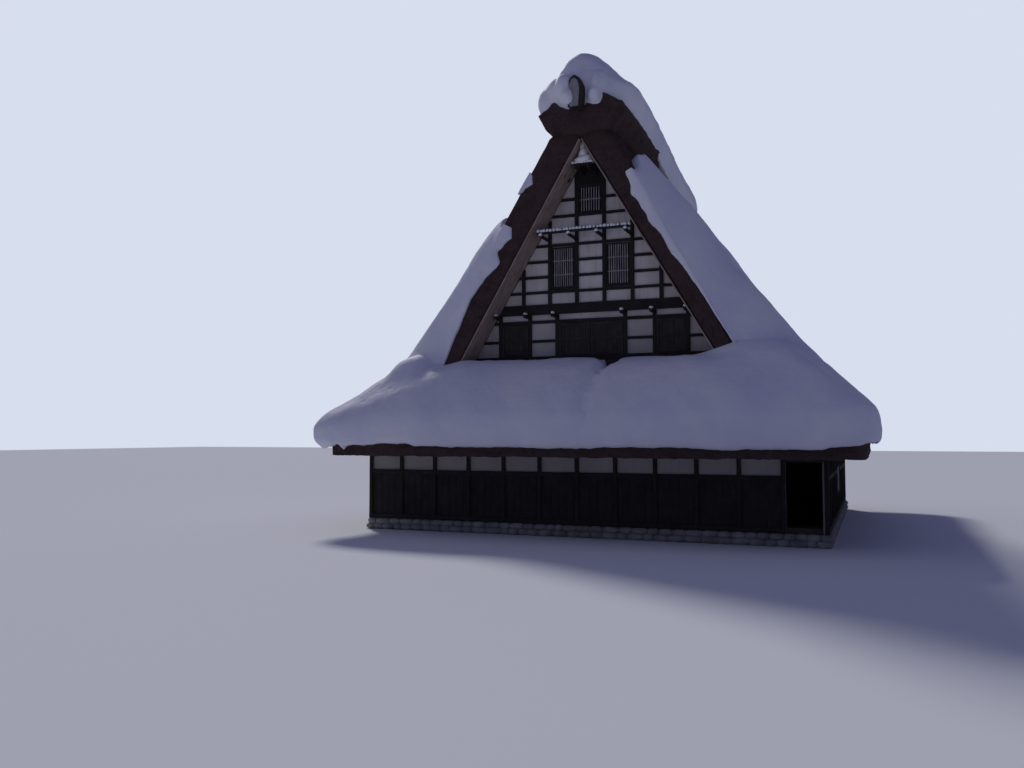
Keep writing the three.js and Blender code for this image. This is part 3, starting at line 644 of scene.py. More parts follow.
def round_corners(x, y, v):
    """Pulls points near the corners of the plan inwards, the more the nearer they are to the eave."""
    u, w = eave_shares(x, y)
    norm = (u ** 8 + w ** 8) ** 0.125 + 1e-9
    pull = 1 + (np.maximum(u, w) / norm - 1) * smooth((v - 0.25) / 0.75)
    new_x = np.where(np.abs(x) > BEND_X, np.sign(x) * (BEND_X + (np.abs(x) - BEND_X) * pull), x)
    new_y = np.where(np.abs(y) > GABLE_Y, np.sign(y) * (GABLE_Y + (np.abs(y) - GABLE_Y) * pull), y)
    return new_x, new_y


def round_share(x, y):
    """Share of the way to the eave, by curves |u|ᵖ + |w|ᵖ = 1 whose p grows from 3 to 8 on the way, so
    that the hips are broad and round above and the corners tighter below."""
    u, w = eave_shares(x, y)
    most = np.maximum(np.maximum(u, w), 1e-6)
    power = 3 + 5 * smooth((most - 0.4) / 0.6)
    return most * (1 + (np.minimum(u, w) / most) ** power) ** (1 / power)


def skirt_height(x, y, s, t, middle_name, hip_names):
    """Height from the share of the way to the eave, or round the lip from the row; each section is
    the side's own in the middle and the hip's towards the hips."""
    line = np.linspace(0, EAVE_ROW, 200)
    by_share = np.interp(round_share(x, y), down_section(line, SHARES), line)
    s = np.where(s < EAVE_ROW, np.minimum(by_share, EAVE_ROW), s)
    middle, low, high = (down_section(s, snow_heights(name)) for name in (middle_name, *hip_names))
    hip = np.where(t < 0, low, high)
    return middle + (hip - middle) * smooth((np.abs(t) - 0.7) / 0.3)


def near_groove(x, y):
    """1 along the line of the runnel below the front loft doors, falling to 0 beside it."""
    line = np.interp(-y - GABLE_Y, [0, 1, 1.8, 2.8], [0.74, 0.86, 0.6, 0.6])
    return np.exp(-((x - line) / 0.3) ** 2) * (y < 0)


def groove(x, y):
    """Depth of that runnel, and of the notch where it meets the wall."""
    out = np.abs(y) - GABLE_Y
    notch = np.clip(1 - np.abs(x - 0.76 - 0.2 * out) / 0.26, 0, 1) * np.clip(1.3 - out / 1.1, 0, 1)
    return 0.16 * near_groove(x, y) * smooth(out / 0.8) + 0.34 * notch * (y < 0)


def hollows(x, y):
    """Depth of two hollows in front: by the wall on the right, and at the foot of the left verge."""
    out = -y - GABLE_Y
    right = 0.18 * smooth((x - 0.9) / 2.4) * smooth((4.9 - x) / 0.8) * np.exp(-(out / 0.8) ** 2)
    left = 0.24 * np.exp(-((x + 4.6) / 0.5) ** 2 - ((y + 6.45) / 0.55) ** 2)
    return right + left


def knob(x, y):
    """A rounded hump on the left front hip."""
    return 0.22 * np.exp(-((x + 5.75) / 0.6) ** 4 - ((y + 6.7) / 0.5) ** 2)


def corner_bulge(x, y):
    """How far the snow at the left front corner leans out past the eave."""
    return 0.36 * smooth((-x - 7.3) / 0.9) * np.exp(-((y + 7.5) / 1.1) ** 2)


def lip_edge(points):
    """How far the front edge is above its even line: a notch beside a tuft, which hangs below the
    line, at the left corner, and a broken edge at the right corner."""
    x = points[..., 0]
    tuft = 0.14 * np.exp(-((x + 8.2) / 0.35) ** 2) + 0.12 * np.exp(-((x + 7.3) / 0.09) ** 2)
    notch = 0.14 * np.exp(-((x + 7.5) / 0.12) ** 2) + 0.12 * smooth((x - 7.0) / 0.3)
    broken = 0.34 * smooth((x - 7.95) / 0.2)
    return (notch + broken - tuft) * (points[..., 1] < -7)


def finished_snow(x, y, z, lip):
    """Soft humps, small lumps, a rough runnel and, from where lip is above a half, a ragged edge."""
    points = grid_of(x, y, z)
    x, y = points[..., 0].copy(), points[..., 1].copy()
    points[..., 0] -= corner_bulge(x, y)
    points[..., 2] += knob(x, y) - hollows(x, y) - groove(x, y) * (1 - lip)
    points = shaken(points, 2.6, 0.05, 11, 2)
    points = shaken(points, 0.45, 0.014, 41)
    points[..., 2] += near_groove(x, y) * 0.05 * layered(points, 0.3, 71)
    ragged = smooth((lip - 0.55) / 0.3)
    points[..., 2] += ragged * (lip_edge(points) + 0.05 * layered(points, (0.5, 0.5, 2.0), 91))
    return points


def skirt_snow(x, y, s, t, middle_name, hip_names):
    """The skirt's snow over the plan, run into the slopes' snow and finished."""
    z = with_slopes(x, y, skirt_height(x, y, s, t, middle_name, hip_names))
    return finished_snow(x, y, z, (s - EAVE_ROW) / 5 + 0 * t)


def end_snow(face, columns, s):
    """Snow on the skirt below a gable, from the wall out to the lip. face is -1 in front, 1 behind."""
    t = np.linspace(-1, 1, columns)[None, :]
    v = ways_out(s)
    x, out = end_plan(t, v)
    x, y = round_corners(x, face * out, v)
    return skirt_snow(x, y, s, t, "end", ("left_hip", "right_hip"))


def with_slopes(x, y, z):
    """The skirt's snow and the slopes' snow run into each other with a broad fillet beyond the bend,
    except close beside the verges' feet."""
    beside = smooth((np.abs(y) - VERGE_Y + 0.25) / 0.25) * (1 - smooth((np.abs(x) - BEND_X) / 0.4))
    for side, sign in SIDES.items():
        gain = blend_max(slope_snow(np.abs(x), y, side), z, 0.5) - z
        z = z + np.where(sign * x > BEND_X - 1e-6, gain * (1 - beside), 0)
    return z


def side_snow(side, s):
    """Snow on a side's skirt and on up the main slope, to its ragged top."""
    sign = SIDES[side]
    place = np.linspace(-1, 1, SIDE_COLUMNS)
    t = (0.35 * place + 0.65 * np.sin(place * math.pi / 2))[None, :]
    v = ways_out(s)
    half = VERGE_Y + (EAVE_Y - VERGE_Y) * v + (VERGE_Y - GABLE_Y) * np.maximum(v - 1, 0)
    x, y = round_corners(sign * (BEND_X + (EAVE_X - BEND_X) * v) + 0 * t, t * half, v)
    skirt = skirt_snow(x, y, s, t, side, (f"{side}_hip", f"{side}_hip"))
    share = np.linspace(0, 1, TOP_ROWS)[:-1, None]
    y = t * VERGE_Y + 0 * share
    ragged = 0.16 * layered(grid_of(0, y, 0), (1, 0.9, 1), 131)
    draw = TOP_DRAW[side] * smooth((np.abs(y) - 5.5) / 0.95)
    top_x = SLOPE_SNOW[side][0][0] + draw + ragged * smooth((VERGE_Y - np.abs(y)) / 0.8)
    x = top_x + (BEND_X - top_x) * share
    bed = thatch_height(x, side)
    fade = np.sqrt(smooth((x - top_x) / 0.3))
    slope = finished_snow(sign * x, y, bed - 0.05 + (slope_snow(x, y, side) - bed + 0.05) * fade, 0 * x)
    return slope, skirt


def hem(edge, side, face):
    """The snow's edge at a verge: it bulges 7 cm past the thatch and turns back under itself, hanging
    as far down the verge's face as the table says."""
    x, z = np.abs(edge[:, 0]), edge[:, 2]
    heights, hangs = zip(*HANG[side])
    hang = np.interp(z, heights, hangs) * HANG_SHARE
    hang = hang * (1 + 0.35 * layered(grid_of(x, 0, z), 0.5, 171)) + 0.05
    down = np.array([-SIDES[side] * INWARD, 0, -DOWN])
    out = np.array([0, face, 0])
    turns = [(0, 0), (0.05, 0.03), (0.075, 0.25), (0.07, 0.8), (0.035, 1.0), (-0.12, 0.9)]
    return np.stack([edge + a * out + b * hang[:, None] * down for a, b in turns])


def make_roof_snow():
    """The sheet of snow round the whole skirt and up both main slopes, welded at the hips and verges."""
    rows = row_places()
    sheets = [sheet(end_snow(-1, FRONT_COLUMNS, rows), flip=True), sheet(end_snow(1, BACK_COLUMNS, rows))]
    for side, sign in SIDES.items():
        slope, skirt = side_snow(side, rows)
        sheets.append(sheet(np.concatenate([slope, skirt]), flip=sign < 0))
        for column, face in ((0, -1), (-1, 1)):
            edge = np.concatenate([slope[:, column], skirt[:1, column]])
            sheets.append(sheet(hem(edge, side, face), flip=sign * face < 0))
    nodes = ["front_snow", "back_snow", "left_snow", "right_snow"]
    piece("roof_snow", [welded(joined(sheets))], SNOW_FINISH, nodes, 80)


# Ridge

# Section of its snow in front and behind, from the right edge over to the left: x, z.
RIDGE_FRONT = [(1.5, 13.05), (1.66, 13.5), (1.62, 13.95), (1.2, 14.22), (0.76, 14.7), (0.3, 15.12),
               (-0.05, 15.25), (-0.5, 15.05), (-0.82, 14.6), (-0.95, 14.25), (-1.2, 13.9), (-1.4, 13.5),
               (-1.2, 13.15)]
RIDGE_BACK = [(1.36, 12.35), (1.42, 12.85), (1.27, 13.35), (1.0, 13.8), (0.68, 14.2), (0.35, 14.55),
              (0, 14.68), (-0.3, 14.6), (-0.6, 14.4), (-0.85, 14.1), (-1.05, 13.7), (-1.2, 13.3),
              (-1.2, 13.0)]
# The point of the section that its size is measured from.
RIDGE_HEART = (0.0, 13.15)
# Share of that section's size along the ridge: y, share.
RIDGE_ENDS = [(-6.7, 0.35), (-6.55, 0.7), (-6.3, 0.88), (-5.6, 1.0), (5.6, 1.0), (6.3, 0.93), (6.75, 0.7),
              (7.0, 0.3)]
# Lobes that hang over the ends of the ridge: middle, half sizes.
RIDGE_LOBES = [
    ((-1.07, -6.4, 13.46), (0.3, 0.42, 0.46)),
    ((-0.4, -6.65, 13.68), (0.34, 0.5, 0.5)),
    ((-0.27, -6.8, 13.36), (0.27, 0.42, 0.32)),
    ((-0.72, -6.45, 13.72), (0.38, 0.42, 0.42)),
    ((0.54, -6.5, 13.42), (0.26, 0.48, 0.34)),
    ((0.6, -6.35, 13.75), (0.36, 0.46, 0.55)),
    ((-0.5, 6.5, 13.6), (0.42, 0.55, 0.5)),
    ((0.6, 6.5, 13.55), (0.42, 0.55, 0.5)),
]


def unit_ball(rows, columns):
    """The unit sphere by latitude and longitude, without its poles."""
    lat = np.linspace(-math.pi / 2, math.pi / 2, rows)[1:-1, None]
    lon = full_turn(columns)[None, :]
    return grid_of(np.cos(lat) * np.cos(lon), np.cos(lat) * np.sin(lon), np.sin(lat))


def ball(middle, halves, seed, rows=14, columns=20, rough=0.08):
    """A lump: the unit sphere, stretched to its half sizes and dented by noise."""
    unit = unit_ball(rows, columns)
    unit = unit * (1 + rough * layered(unit * 1.5 + seed, 1.0, seed, 2))[..., None]
    return tube(np.asarray(middle) + unit * np.asarray(halves))


def remeshed(made, voxel, rounds):
    """Runs the overlapping lumps of a piece together on a lattice of cubes, smooths the skin and then
    moves its points by a little noise."""
    remesh = made.modifiers.new("run_together", "REMESH")
    remesh.mode = "VOXEL"
    remesh.voxel_size = voxel
    remesh.use_smooth_shade = True
    soften = made.modifiers.new("soften", "SMOOTH")
    soften.factor = 0.5
    soften.iterations = rounds
    graph = bpy.context.evaluated_depsgraph_get()
    mesh = bpy.data.meshes.new_from_object(made.evaluated_get(graph))
    made.modifiers.clear()
    material = made.data.materials[0]
    made.data = mesh
    mesh.materials.clear()
    mesh.materials.append(material)
    co = np.empty(len(mesh.vertices) * 3)
    mesh.vertices.foreach_get("co", co)
    points = shaken(co.reshape(-1, 3), 0.4, 0.02, 211)
    mesh.vertices.foreach_set("co", points.reshape(-1))
    mesh.update()


def make_ridge_snow():
    """The long cap over the ridge and its lobes, run together. Its right edge droops about the middle
    of the ridge."""
    ys, rise = zip(*RIDGE_ENDS)
    y = np.linspace(ys[0], ys[-1], 90)
    risen = rounded(y, ys, rise, 0.3)[:, None, None]
    back = smooth((y + 6) / 12)[:, None, None]
    crest = np.array(RIDGE_FRONT) * (1 - back) + np.array(RIDGE_BACK) * back
    crest[:, 0, 1] -= 0.26 * smooth((y + 4.6) / 4.6) * (1 - smooth(y / 4))
    section = RIDGE_HEART + (crest - RIDGE_HEART) * risen
    order = np.arange(len(RIDGE_FRONT))
    place = np.linspace(0, order[-1], 40)
    x, z = (np.stack([np.interp(place, order, row[:, k]) for row in section]) for k in (0, 1))
    parts = [tube(grid_of(x, y[:, None], z))]
    parts += [ball(middle, halves, 300 + i) for i, (middle, halves) in enumerate(RIDGE_LOBES)]
    remeshed(piece("ridge_snow_cap", parts, SNOW_FINISH, ["ridge_snow"], 80), 0.055, 9)


# Thatch

# Height of the main slopes' foot on their underside, between the gables.
INNER_FOOT = 5.189


def soffit_x(z):
    """Half width of the gable under the soffit at a height."""
    return (SOFFIT_APEX - z) / SOFFIT_SLOPE


def make_main_thatch(side):
    """One main slope: a rectangle of the roof's length by its thickness, its corners tucked in, carried
    up the roof. Each point lies between the top line and the soffit line, by its share of the
    thickness, and in the overhangs the foot follows the skirt."""
    sign = SIDES[side]
    rim = VERGE_Y - 1.2 * np.linspace(0, 1, 14)
    across = np.concatenate([rim, np.linspace(5.1, -5.1, 70)[1:-1], -rim[::-1]])
    deep = np.linspace(0, 1, 18)[1:-1]
    verge = np.full(len(deep), VERGE_Y)
    ring_y = np.concatenate([across, -verge, across[::-1], verge])
    ring_q = np.concatenate([0 * across, deep, 0 * across + 1, deep[::-1]])
    a = np.linspace(0, 1, 110)[:, None]
    out = np.maximum(0, np.abs(ring_y) - GABLE_Y)[None, :]
    foot = BEND_Z - END_SLOPE * out
    bend = (SHOULDER_Z - foot) / (SHOULDER_Z - foot + 1.0)
    lower = np.clip(a / bend, 0, 1)
    upper = np.clip((a - bend) / (1 - bend), 0, 1)
    top_z = foot + (SHOULDER_Z - foot) * lower + (APEX_Z - SHOULDER_Z) * upper
    line_x, line_z = zip(*THATCH_LINE[side][::-1])
    top_x = rounded(top_z, line_z, line_x, 0.1)
    foot_under = np.where(out > 0, foot, INNER_FOOT)
    under_z = foot_under + (SOFFIT_APEX - foot_under) * a
    x = top_x + (soffit_x(under_z) - top_x) * ring_q
    z = top_z + (under_z - top_z) * ring_q
    edge = np.minimum(ring_q, 1 - ring_q) * 2
    tuck = 0.12 * (1 - smooth(edge * 4)) * (np.abs(ring_y) > VERGE_Y - 0.01)
    points = grid_of(sign * x, ring_y - np.sign(ring_y) * tuck, z)
    straws = layered(points, (0.5, 0.10, 0.5), 401)
    courses = layered(points, (0.35, 2.5, 0.35), 431, 2)
    push = 0.016 * straws + 0.022 * courses
    face = np.abs(points[..., 1:2]) > VERGE_Y - 0.2
    normal = np.where(face, [0, 1, 0] * np.sign(points), [sign * 0.88, 0, 0.47])
    points = points + push[..., None] * normal
    inner = points[..., 0] * sign < 0.004
    points[..., 0] = np.where(inner, sign * 0.004, points[..., 0])
    piece(f"{side}_thatch", [tube(points)], VERGE_FINISH, [f"roof_{side}"], 60)


def make_skirt_thatch(half, out, neck):
    """A skirt slope: its section carried from hip to hip, the eave's face rough with cut reed and its
    corners rounded in plan like the snow's."""
    lip = EAVE_TOP - EAVE_LOW
    inner = (SKIRT_THICK - lip) / (BEND_Z - EAVE_TOP)
    corners = np.array([(0, BEND_Z), (1, EAVE_TOP), (1, EAVE_LOW), (1 - inner, EAVE_LOW), neck])
    section = []
    for corner, after, count in zip(corners, np.roll(corners, -1, 0), (24, 9, 5, 20, 6)):
        section.append(corner + np.linspace(0, 1, count, endpoint=False)[:, None] * (after - corner))
    v, z = np.concatenate(section).T[:, None, :]
    t = np.sin(np.linspace(-math.pi / 2, math.pi / 2, 190))[:, None]
    wide, far = half[1] - half[0], out[1] - out[0]
    u = np.clip((np.abs(t) * (half[0] + wide * v) - half[0]) / wide, 0, None)
    pull = np.maximum(u, v) / ((u ** 8 + np.abs(v) ** 8) ** 0.125 + 1e-9)
    pull = 1 + (pull - 1) * smooth((v - 0.25) / 0.75)
    along = np.where(u > 0, np.sign(t) * (half[0] + wide * u * pull), t * (half[0] + wide * v))
    points = grid_of(along, -(out[0] + far * v * pull), z)
    rough = smooth((v - 0.9) / 0.1) * (1 - smooth((np.abs(t) - 0.96) / 0.04))
    push = 0.03 * layered(points, (0.12, 0.4, 0.4), 501) + 0.03 * layered(points, (0.9, 0.9, 0.1), 531, 2)
    points[..., 1] += (0.03 - push) * rough
    points[..., 2] += 0.03 * layered(points, (0.2, 0.5, 0.5), 561) * rough
    return tube(points)


def make_skirts():
    """Four skirts, mitred at the hips."""
    neck_x = (SOFFIT_APEX - GABLE_FOOT - SKIRT_SLOPE * BEND_X) / (SOFFIT_SLOPE - SKIRT_SLOPE)
    neck = ((neck_x - BEND_X) / (EAVE_X - BEND_X), SOFFIT_APEX - SOFFIT_SLOPE * neck_x)
    flush = (0, BEND_Z - SKIRT_THICK)
    end = make_skirt_thatch((BEND_X, EAVE_X), (GABLE_Y, EAVE_Y), flush)
    side = make_skirt_thatch((GABLE_Y, EAVE_Y), (BEND_X, EAVE_X), neck)
    quarters = {"front": (end, 0), "back": (end, 2), "right": (side, 1), "left": (side, -1)}
    for name, (part, quarter) in quarters.items():
        part = turned(part, quarter * math.pi / 2)
        piece(f"{name}_eaves", [part], VERGE_FINISH, [f"{name}_skirt"], 60)


def extruded(outline, y0, y1, step, seed, rough):
    """An outline of (x, z) points, closed, carried along Y and roughened by noise."""
    closed = np.array([*outline, outline[0]], float)
    length = np.linalg.norm(np.diff(closed, axis=0), axis=1)
    place = np.concatenate([[0], np.cumsum(length)])
    around = np.linspace(0, place[-1], int(place[-1] / step) + 1)[:-1]
    x, z = (np.interp(around, place, closed[:, k]) for k in (0, 1))
    y = np.linspace(y0, y1, int((y1 - y0) / step) + 1)[:, None]
    rings = grid_of(x, y, z)
    middle = rings.mean(axis=1, keepdims=True)
    ends = middle + (rings - middle) * np.array([0.95, 1, 0.95])
    rings = np.concatenate([ends[:1], rings, ends[-1:]])
    return tube(shaken(rings, (0.12, 0.5, 0.3), rough, seed))


def make_ridge():
    """The saddle over both slopes and the roll in its groove, whose ends are pale in a ring of bark."""
    outline = [(0, 12.98), (0.25, 12.98), (0.3, 13.3), (0.85, 13.45), (1.48, 13.06), (1.5, 12.8),
               (1.02, 12.36), (0, 12.26), (-0.93, 12.38), (-1.28, 12.95), (-0.85, 13.36), (-0.3, 13.3),
               (-0.25, 12.98)]
    saddle = extruded(outline, -GABLE_Y - 1.25, GABLE_Y + 1.25, 0.12, 601, 0.03)
    points = saddle[0]
    points[:, 0] -= 0.4 * smooth((points[:, 0] - 0.6) / 0.8) * smooth((points[:, 1] + 1.6) / 4)
    piece("saddle_thatch", [saddle], VERGE_FINISH, ["ridge_saddle"], 60)
    arch = [(0.2, 13.0), (0.25, 13.4), (0.24, 13.68), (0.16, 13.9), (0, 14.02)]
    arch = arch + [(-x, z) for x, z in reversed(arch[:-1])]
    roll = extruded(arch, -GABLE_Y - 1.55, GABLE_Y + 1.55, 0.07, 631, 0.012)
    piece("ridge_roll_bark", [roll], BARK_FINISH, ["ridge_roll"], 60)
    core = [(x * 0.66 - 0.01, 13.6 + (z - 13.6) * 0.78) for x, z in arch]
    core = [(x, z - 0.1 * (z < 13.3)) for x, z in core]
    ends = [extruded(core, *span, 0.05, 641, 0.01) for span in ((-7.03, -6.9), (6.9, 7.03))]
    piece("ridge_roll_ends", ends, ROLL_END_FINISH, [], 60)


def make_soffits():
    """Reed boards under each verge: strips side by side along the slope."""
    foot, head = 4.5, SOFFIT_APEX - 0.05
    parts = []
    for sign in (-1, 1):
        for i in range(9):
            y = -VERGE_Y + 0.06 + 0.11 * i
            start, end = (sign * (soffit_x(foot) - 0.02), y, foot), (sign * 0.03, y, head)
            parts.append(beam(start, end, 0.108, 0.035, (0, 1, 0), 700 + i + 20 * sign))
    both_gables("soffit_boards", joined(parts), SOFFIT_FINISH, "soffit")


# Gables

FACE_Y = -GABLE_Y + TIMBER / 2
# Openings of the front gable: x from and to, z from and to.
OPENINGS = {
    "loft_doors": (-1.06, 1.06, 5.57, 6.63),
    "shutter": (2.11, 3.02, 5.57, 6.63),
    "window": (0.5145, 1.3035, 7.75, 9.08),
    "top": (-0.3945, 0.3945, 10.13, HEADER_LOW),
}


def gable_rail(z, high, seed, gaps=(), back=0.0):
    """A rail across the gable at a height, run into the thatch at both ends. It stops at gaps, given
    as (from, to) along X."""
    half = min(BEND_X, soffit_x(z) + 0.05)
    ends = [-half, *[edge for gap in sorted(gaps) for edge in gap], half]
    return [level(a, b, FACE_Y + back, z, TIMBER, high, seed + i)
            for i, (a, b) in enumerate(zip(ends[::2], ends[1::2])) if b > a]


def cut_rail(z, seed):
    """A thin rail that stops at the openings, on both sides of the middle, that it would cross."""
    crossed = [(x0, x1) for x0, x1, z0, z1 in OPENINGS.values() if z0 < z < z1]
    gaps = {tuple(sorted((sign * x0, sign * x1))) for x0, x1 in crossed for sign in (-1, 1)}
    return gable_rail(z, RAIL, seed, gaps, 0.004)


def gable_posts(places, z0, z1, seed):
    """Upright posts on both sides of the middle, up to a height or to the soffit."""
    spots = [(sign * x, min(z1, SOFFIT_APEX - x * SOFFIT_SLOPE)) for x in places for sign in (1, -1)]
    return [upright(x, FACE_Y - 0.004, z0, top, POST, TIMBER, seed + i) for i, (x, top) in enumerate(spots)]


def make_gable_timbers():
    """Foot beam, sill, rails, posts, tie beam and arms below; posts, rails and header board above."""
    rails = [(GABLE_FOOT + 0.09, 0.18), (SILL_Z - 0.12, 0.36), (HEAD_Z, POST - 0.02),
             ((TIE_LOW + TIE_HIGH) / 2, TIE_HIGH - TIE_LOW)]
    lower = []
    for (z, high), seed in zip(rails, (801, 802, 804, 805)):
        lower += gable_rail(z, high, seed)
    lower += cut_rail(LOW_RAIL_Z, 806)
    lower += gable_posts(LOWER_POSTS, GABLE_FOOT, TIE_LOW + 0.02, 820)
    lower += [beam((x, -GABLE_Y - 0.48, 6.84), (x, -GABLE_Y + 0.03, 6.84), 0.09, 0.12, (1, 0, 0), 840 + i)
              for i, x in enumerate(ARMS)]
    upper = []
    for i, z in enumerate(GABLE_RAILS):
        upper += cut_rail(z, 860 + 5 * i)
    upper += gable_posts(UPPER_POSTS, TIE_HIGH - 0.02, SOFFIT_APEX, 910)
    upper += [upright(-0.36 + 0.18 * i, -GABLE_Y + 0.04, HEADER_LOW - 0.02, HEADER_TOP, 0.176, 0.05, 930 + i)
              for i in range(5)]
    upper.append(level(-0.5, 0.5, FACE_Y, HEADER_LOW + 0.03, TIMBER, 0.09, 940))
    for label, parts in (("lower", lower), ("upper", upper)):
        both_gables(f"{label}_timbers", joined(parts), TIMBER_FINISH, f"{label}_gable_frame")


def board_leaf(x0, x1, z0, z1, boards, seed):
    """A leaf of upright boards with a ledge at its head, middle and foot and a stile at each edge."""
    y = -GABLE_Y + 0.05
    wide = (x1 - x0) / boards
    parts = [upright(x0 + wide * (i + 0.5), y + 0.002 * (i % 2), z0, z1, wide - 0.004, 0.035, seed + i)
             for i in range(boards)]
    for z in (z0 + 0.06, (z0 + z1) / 2, z1 - 0.06):
        parts.append(level(x0, x1, y - 0.03, z, 0.03, 0.075, seed + 40 + int(z * 10)))
    for x in (x0 + 0.04, x1 - 0.04):
        parts.append(upright(x, y - 0.034, z0, z1, 0.07, 0.03, seed + 60 + int(x * 10)))
    return joined(parts)


def make_doors():
    """Loft doors in two leaves, and a shutter each side."""
    _, half, z0, z1 = OPENINGS["loft_doors"]
    doors = [board_leaf(0.004 - half, -0.004, z0, z1, 6, 1001),
             board_leaf(0.004, half - 0.004, z0, z1, 6, 1101)]
    x0, x1, z0, z1 = OPENINGS["shutter"]
    leaves = {"loft_doors": joined(doors), "shutter_right": board_leaf(x0, x1, z0, z1, 5, 1201),
              "shutter_left": board_leaf(-x1, -x0, z0, z1, 5, 1301)}
    for name, part in leaves.items():
        both_gables(f"{name}_boards", part, BOARD_FINISH, name)


def barred_window(x0, x1, z0, z1, bars, rails, y, seed):
    """A window in two parts: its frame with a sill, and slender upright bars with thinner rails
    behind them."""
    rim = 0.05
    frame_parts = [
        level(x0, x1, y, z0 + rim / 2, 0.05, rim, seed), level(x0, x1, y, z1 - rim / 2, 0.05, rim, seed + 1),
        upright(x0 + rim / 2, y, z0, z1, rim, 0.05, seed + 5),
        upright(x1 - rim / 2, y, z0, z1, rim, 0.05, seed + 6),
        level(x0, x1, y, z0 - 0.025, 0.06, 0.05, seed + 4),
    ]
    parts = []
    for i in range(bars):
        x = x0 + rim + (x1 - x0 - 2 * rim) * (i + 0.7) / (bars + 0.4)
        parts.append(upright(x, y + 0.004, z0 + 0.02, z1 - 0.02, 0.03, 0.026, seed + 20 + i))
    for i in range(rails):
        z = z0 + (z1 - z0) * (i + 1) / (rails + 1)
        parts.append(level(x0 + 0.02, x1 - 0.02, y + 0.02, z, 0.02, 0.035, seed + 50 + i))
    return joined(frame_parts), joined(parts)


def make_windows():
    """Barred windows of both gables and both sides."""
    y = -GABLE_Y + 0.035
    x0, x1, z0, z1 = OPENINGS["window"]
    made = {
        "window_right": barred_window(x0, x1, z0, z1, 9, 2, y, 1401),
        "window_left": barred_window(-x1, -x0, z0, z1, 9, 2, y, 1501),
        "window_top": barred_window(*OPENINGS["top"], 8, 1, y, 1601),
    }
    frames = []
    for name, (rims, bars) in made.items():
        frames += [rims, turned(rims)]
        both_gables(f"{name}_bars", bars, BAR_FINISH, name)
    rims, bars = barred_window(-CLEAR, CLEAR, WINDOW_LOW, WINDOW_HIGH, 18, 1, -WALL_X + 0.035, 1701)
    for name, sign in SIDES.items():
        frames.append(turned(rims, sign * math.pi / 2))
        bars_here = turned(bars, sign * math.pi / 2)
        piece(f"{name}_window_bars", [bars_here], BAR_FINISH, [f"{name}_window"])
    piece("window_frames", frames, TIMBER_FINISH, [])


def make_poles():
    """Poles on arms above the windows."""
    for name, (half, z, places, seat) in POLES.items():
        parts = [pole((-half, POLE_Y, z), (half, POLE_Y, z), POLE_R, 1801)]
        low = z - POLE_R * 0.8 - 0.045
        for i, x in enumerate(sign * x for x in places for sign in (-1, 1)):
            start, end = (x, POLE_Y - 0.06, low), (x, -GABLE_Y + seat + 0.02, low)
            parts.append(beam(start, end, 0.08, 0.09, (1, 0, 0), 1810 + i))
        both_gables(f"{name}_timber", joined(parts), TIMBER_FINISH, name)


def make_small_snow():
    """Beads along the long pole, caps on the arms, and beads and a heap on the top pole."""
    draw = np.random.RandomState(77)
    parts = []

    def bead(spot, halves, seed, rough=0.2, rows=8, columns=10):
        parts.append(ball(spot, halves, seed, rows, columns, rough))

    _, long_z, places, _ = POLES["gable_pole"]
    top_z = POLES["top_pole"][1]
    for i in range(28):
        x = -1.47 + 2.94 * i / 27 + draw.uniform(-0.015, 0.015)
        size = draw.uniform(0.044, 0.058)
        bead((x, POLE_Y, long_z + POLE_R + size * 0.5), (size, 0.05, size * 1.1), 1900 + i, 0.15)
    for i, x in enumerate(sorted(sign * x for x in places for sign in (-1, 1))):
        bead((x, POLE_Y - 0.03, long_z - 0.05), (0.06, 0.06, 0.055), 1940 + i)
    for i, x in enumerate(ARMS):
        bead((x, -GABLE_Y - 0.42, 6.91), (0.06, 0.08, 0.05), 1950 + i)
    for i in range(7):
        bead((-0.3 + 0.1 * i, POLE_Y, top_z + 0.06), (0.055, 0.05, 0.05), 1960 + i)
    heap = [((0.0, 0.12, 0.17), (0.3, 0.2, 0.16)), ((0.0, 0.16, 0.37), (0.17, 0.15, 0.2)),
            ((-0.02, 0.18, 0.57), (0.08, 0.1, 0.16))]
    for i, ((x, y, z), halves) in enumerate(heap):
        bead((x, POLE_Y + y, top_z + z), halves, 1970 + i, 0.2, 10, 14)
    # The beads and the heap take that brighter snow, which is painted light.
    both_gables("snow_beads", joined(parts), PAINTED_LIGHT_BEAD_FINISH, None, 80)


def make_snow_patch():
    """A thin patch on the left verge's face: its outer edge follows the thatch's top line, and its
    width swells and falls again as the sine of the way down."""
    way = np.linspace(0, 1, 60)[:, None]
    turn = full_turn(18)[None, :]
    uneven = 1 + 0.25 * layered(way * np.array([4.0, 0, 0]), 1.0, 1980)[:, None]
    half = 0.12 * np.sin(math.pi * way) ** 0.6 * uneven
    z = 11.32 - 0.66 * way
    line_x, line_z = zip(*THATCH_LINE["left"][::-1])
    x = -rounded(z, line_z, line_x, 0.1) - 0.03 + half * (1 + np.cos(turn))
    patch = grid_of(x, -VERGE_Y + 0.02 + 0.07 * np.sin(turn), z - 0.3 * half * np.cos(turn))
    piece("left_snow_patch", [tube(shaken(patch, 0.3, 0.01, 1985, 2))], SNOW_FINISH, [], 80)


# Ground floor

# Tops of the end and side walls under the thatch.
END_TOP = BEND_Z - END_SLOPE * (WALL_Y - GABLE_Y) - SKIRT_THICK
SIDE_TOP = BEND_Z - SKIRT_SLOPE * (WALL_X - BEND_X) - SKIRT_THICK
BOARD_WIDTH = 0.24


def spans_clear(x, low, high, window):
    """The parts of a span in height that lie clear of the side window."""
    if not window or abs(x) >= CLEAR:
        return [(low, high)]
    return [(a, b) for a, b in ((low, min(high, WINDOW_LOW)), (max(low, WINDOW_HIGH), high)) if b > a]


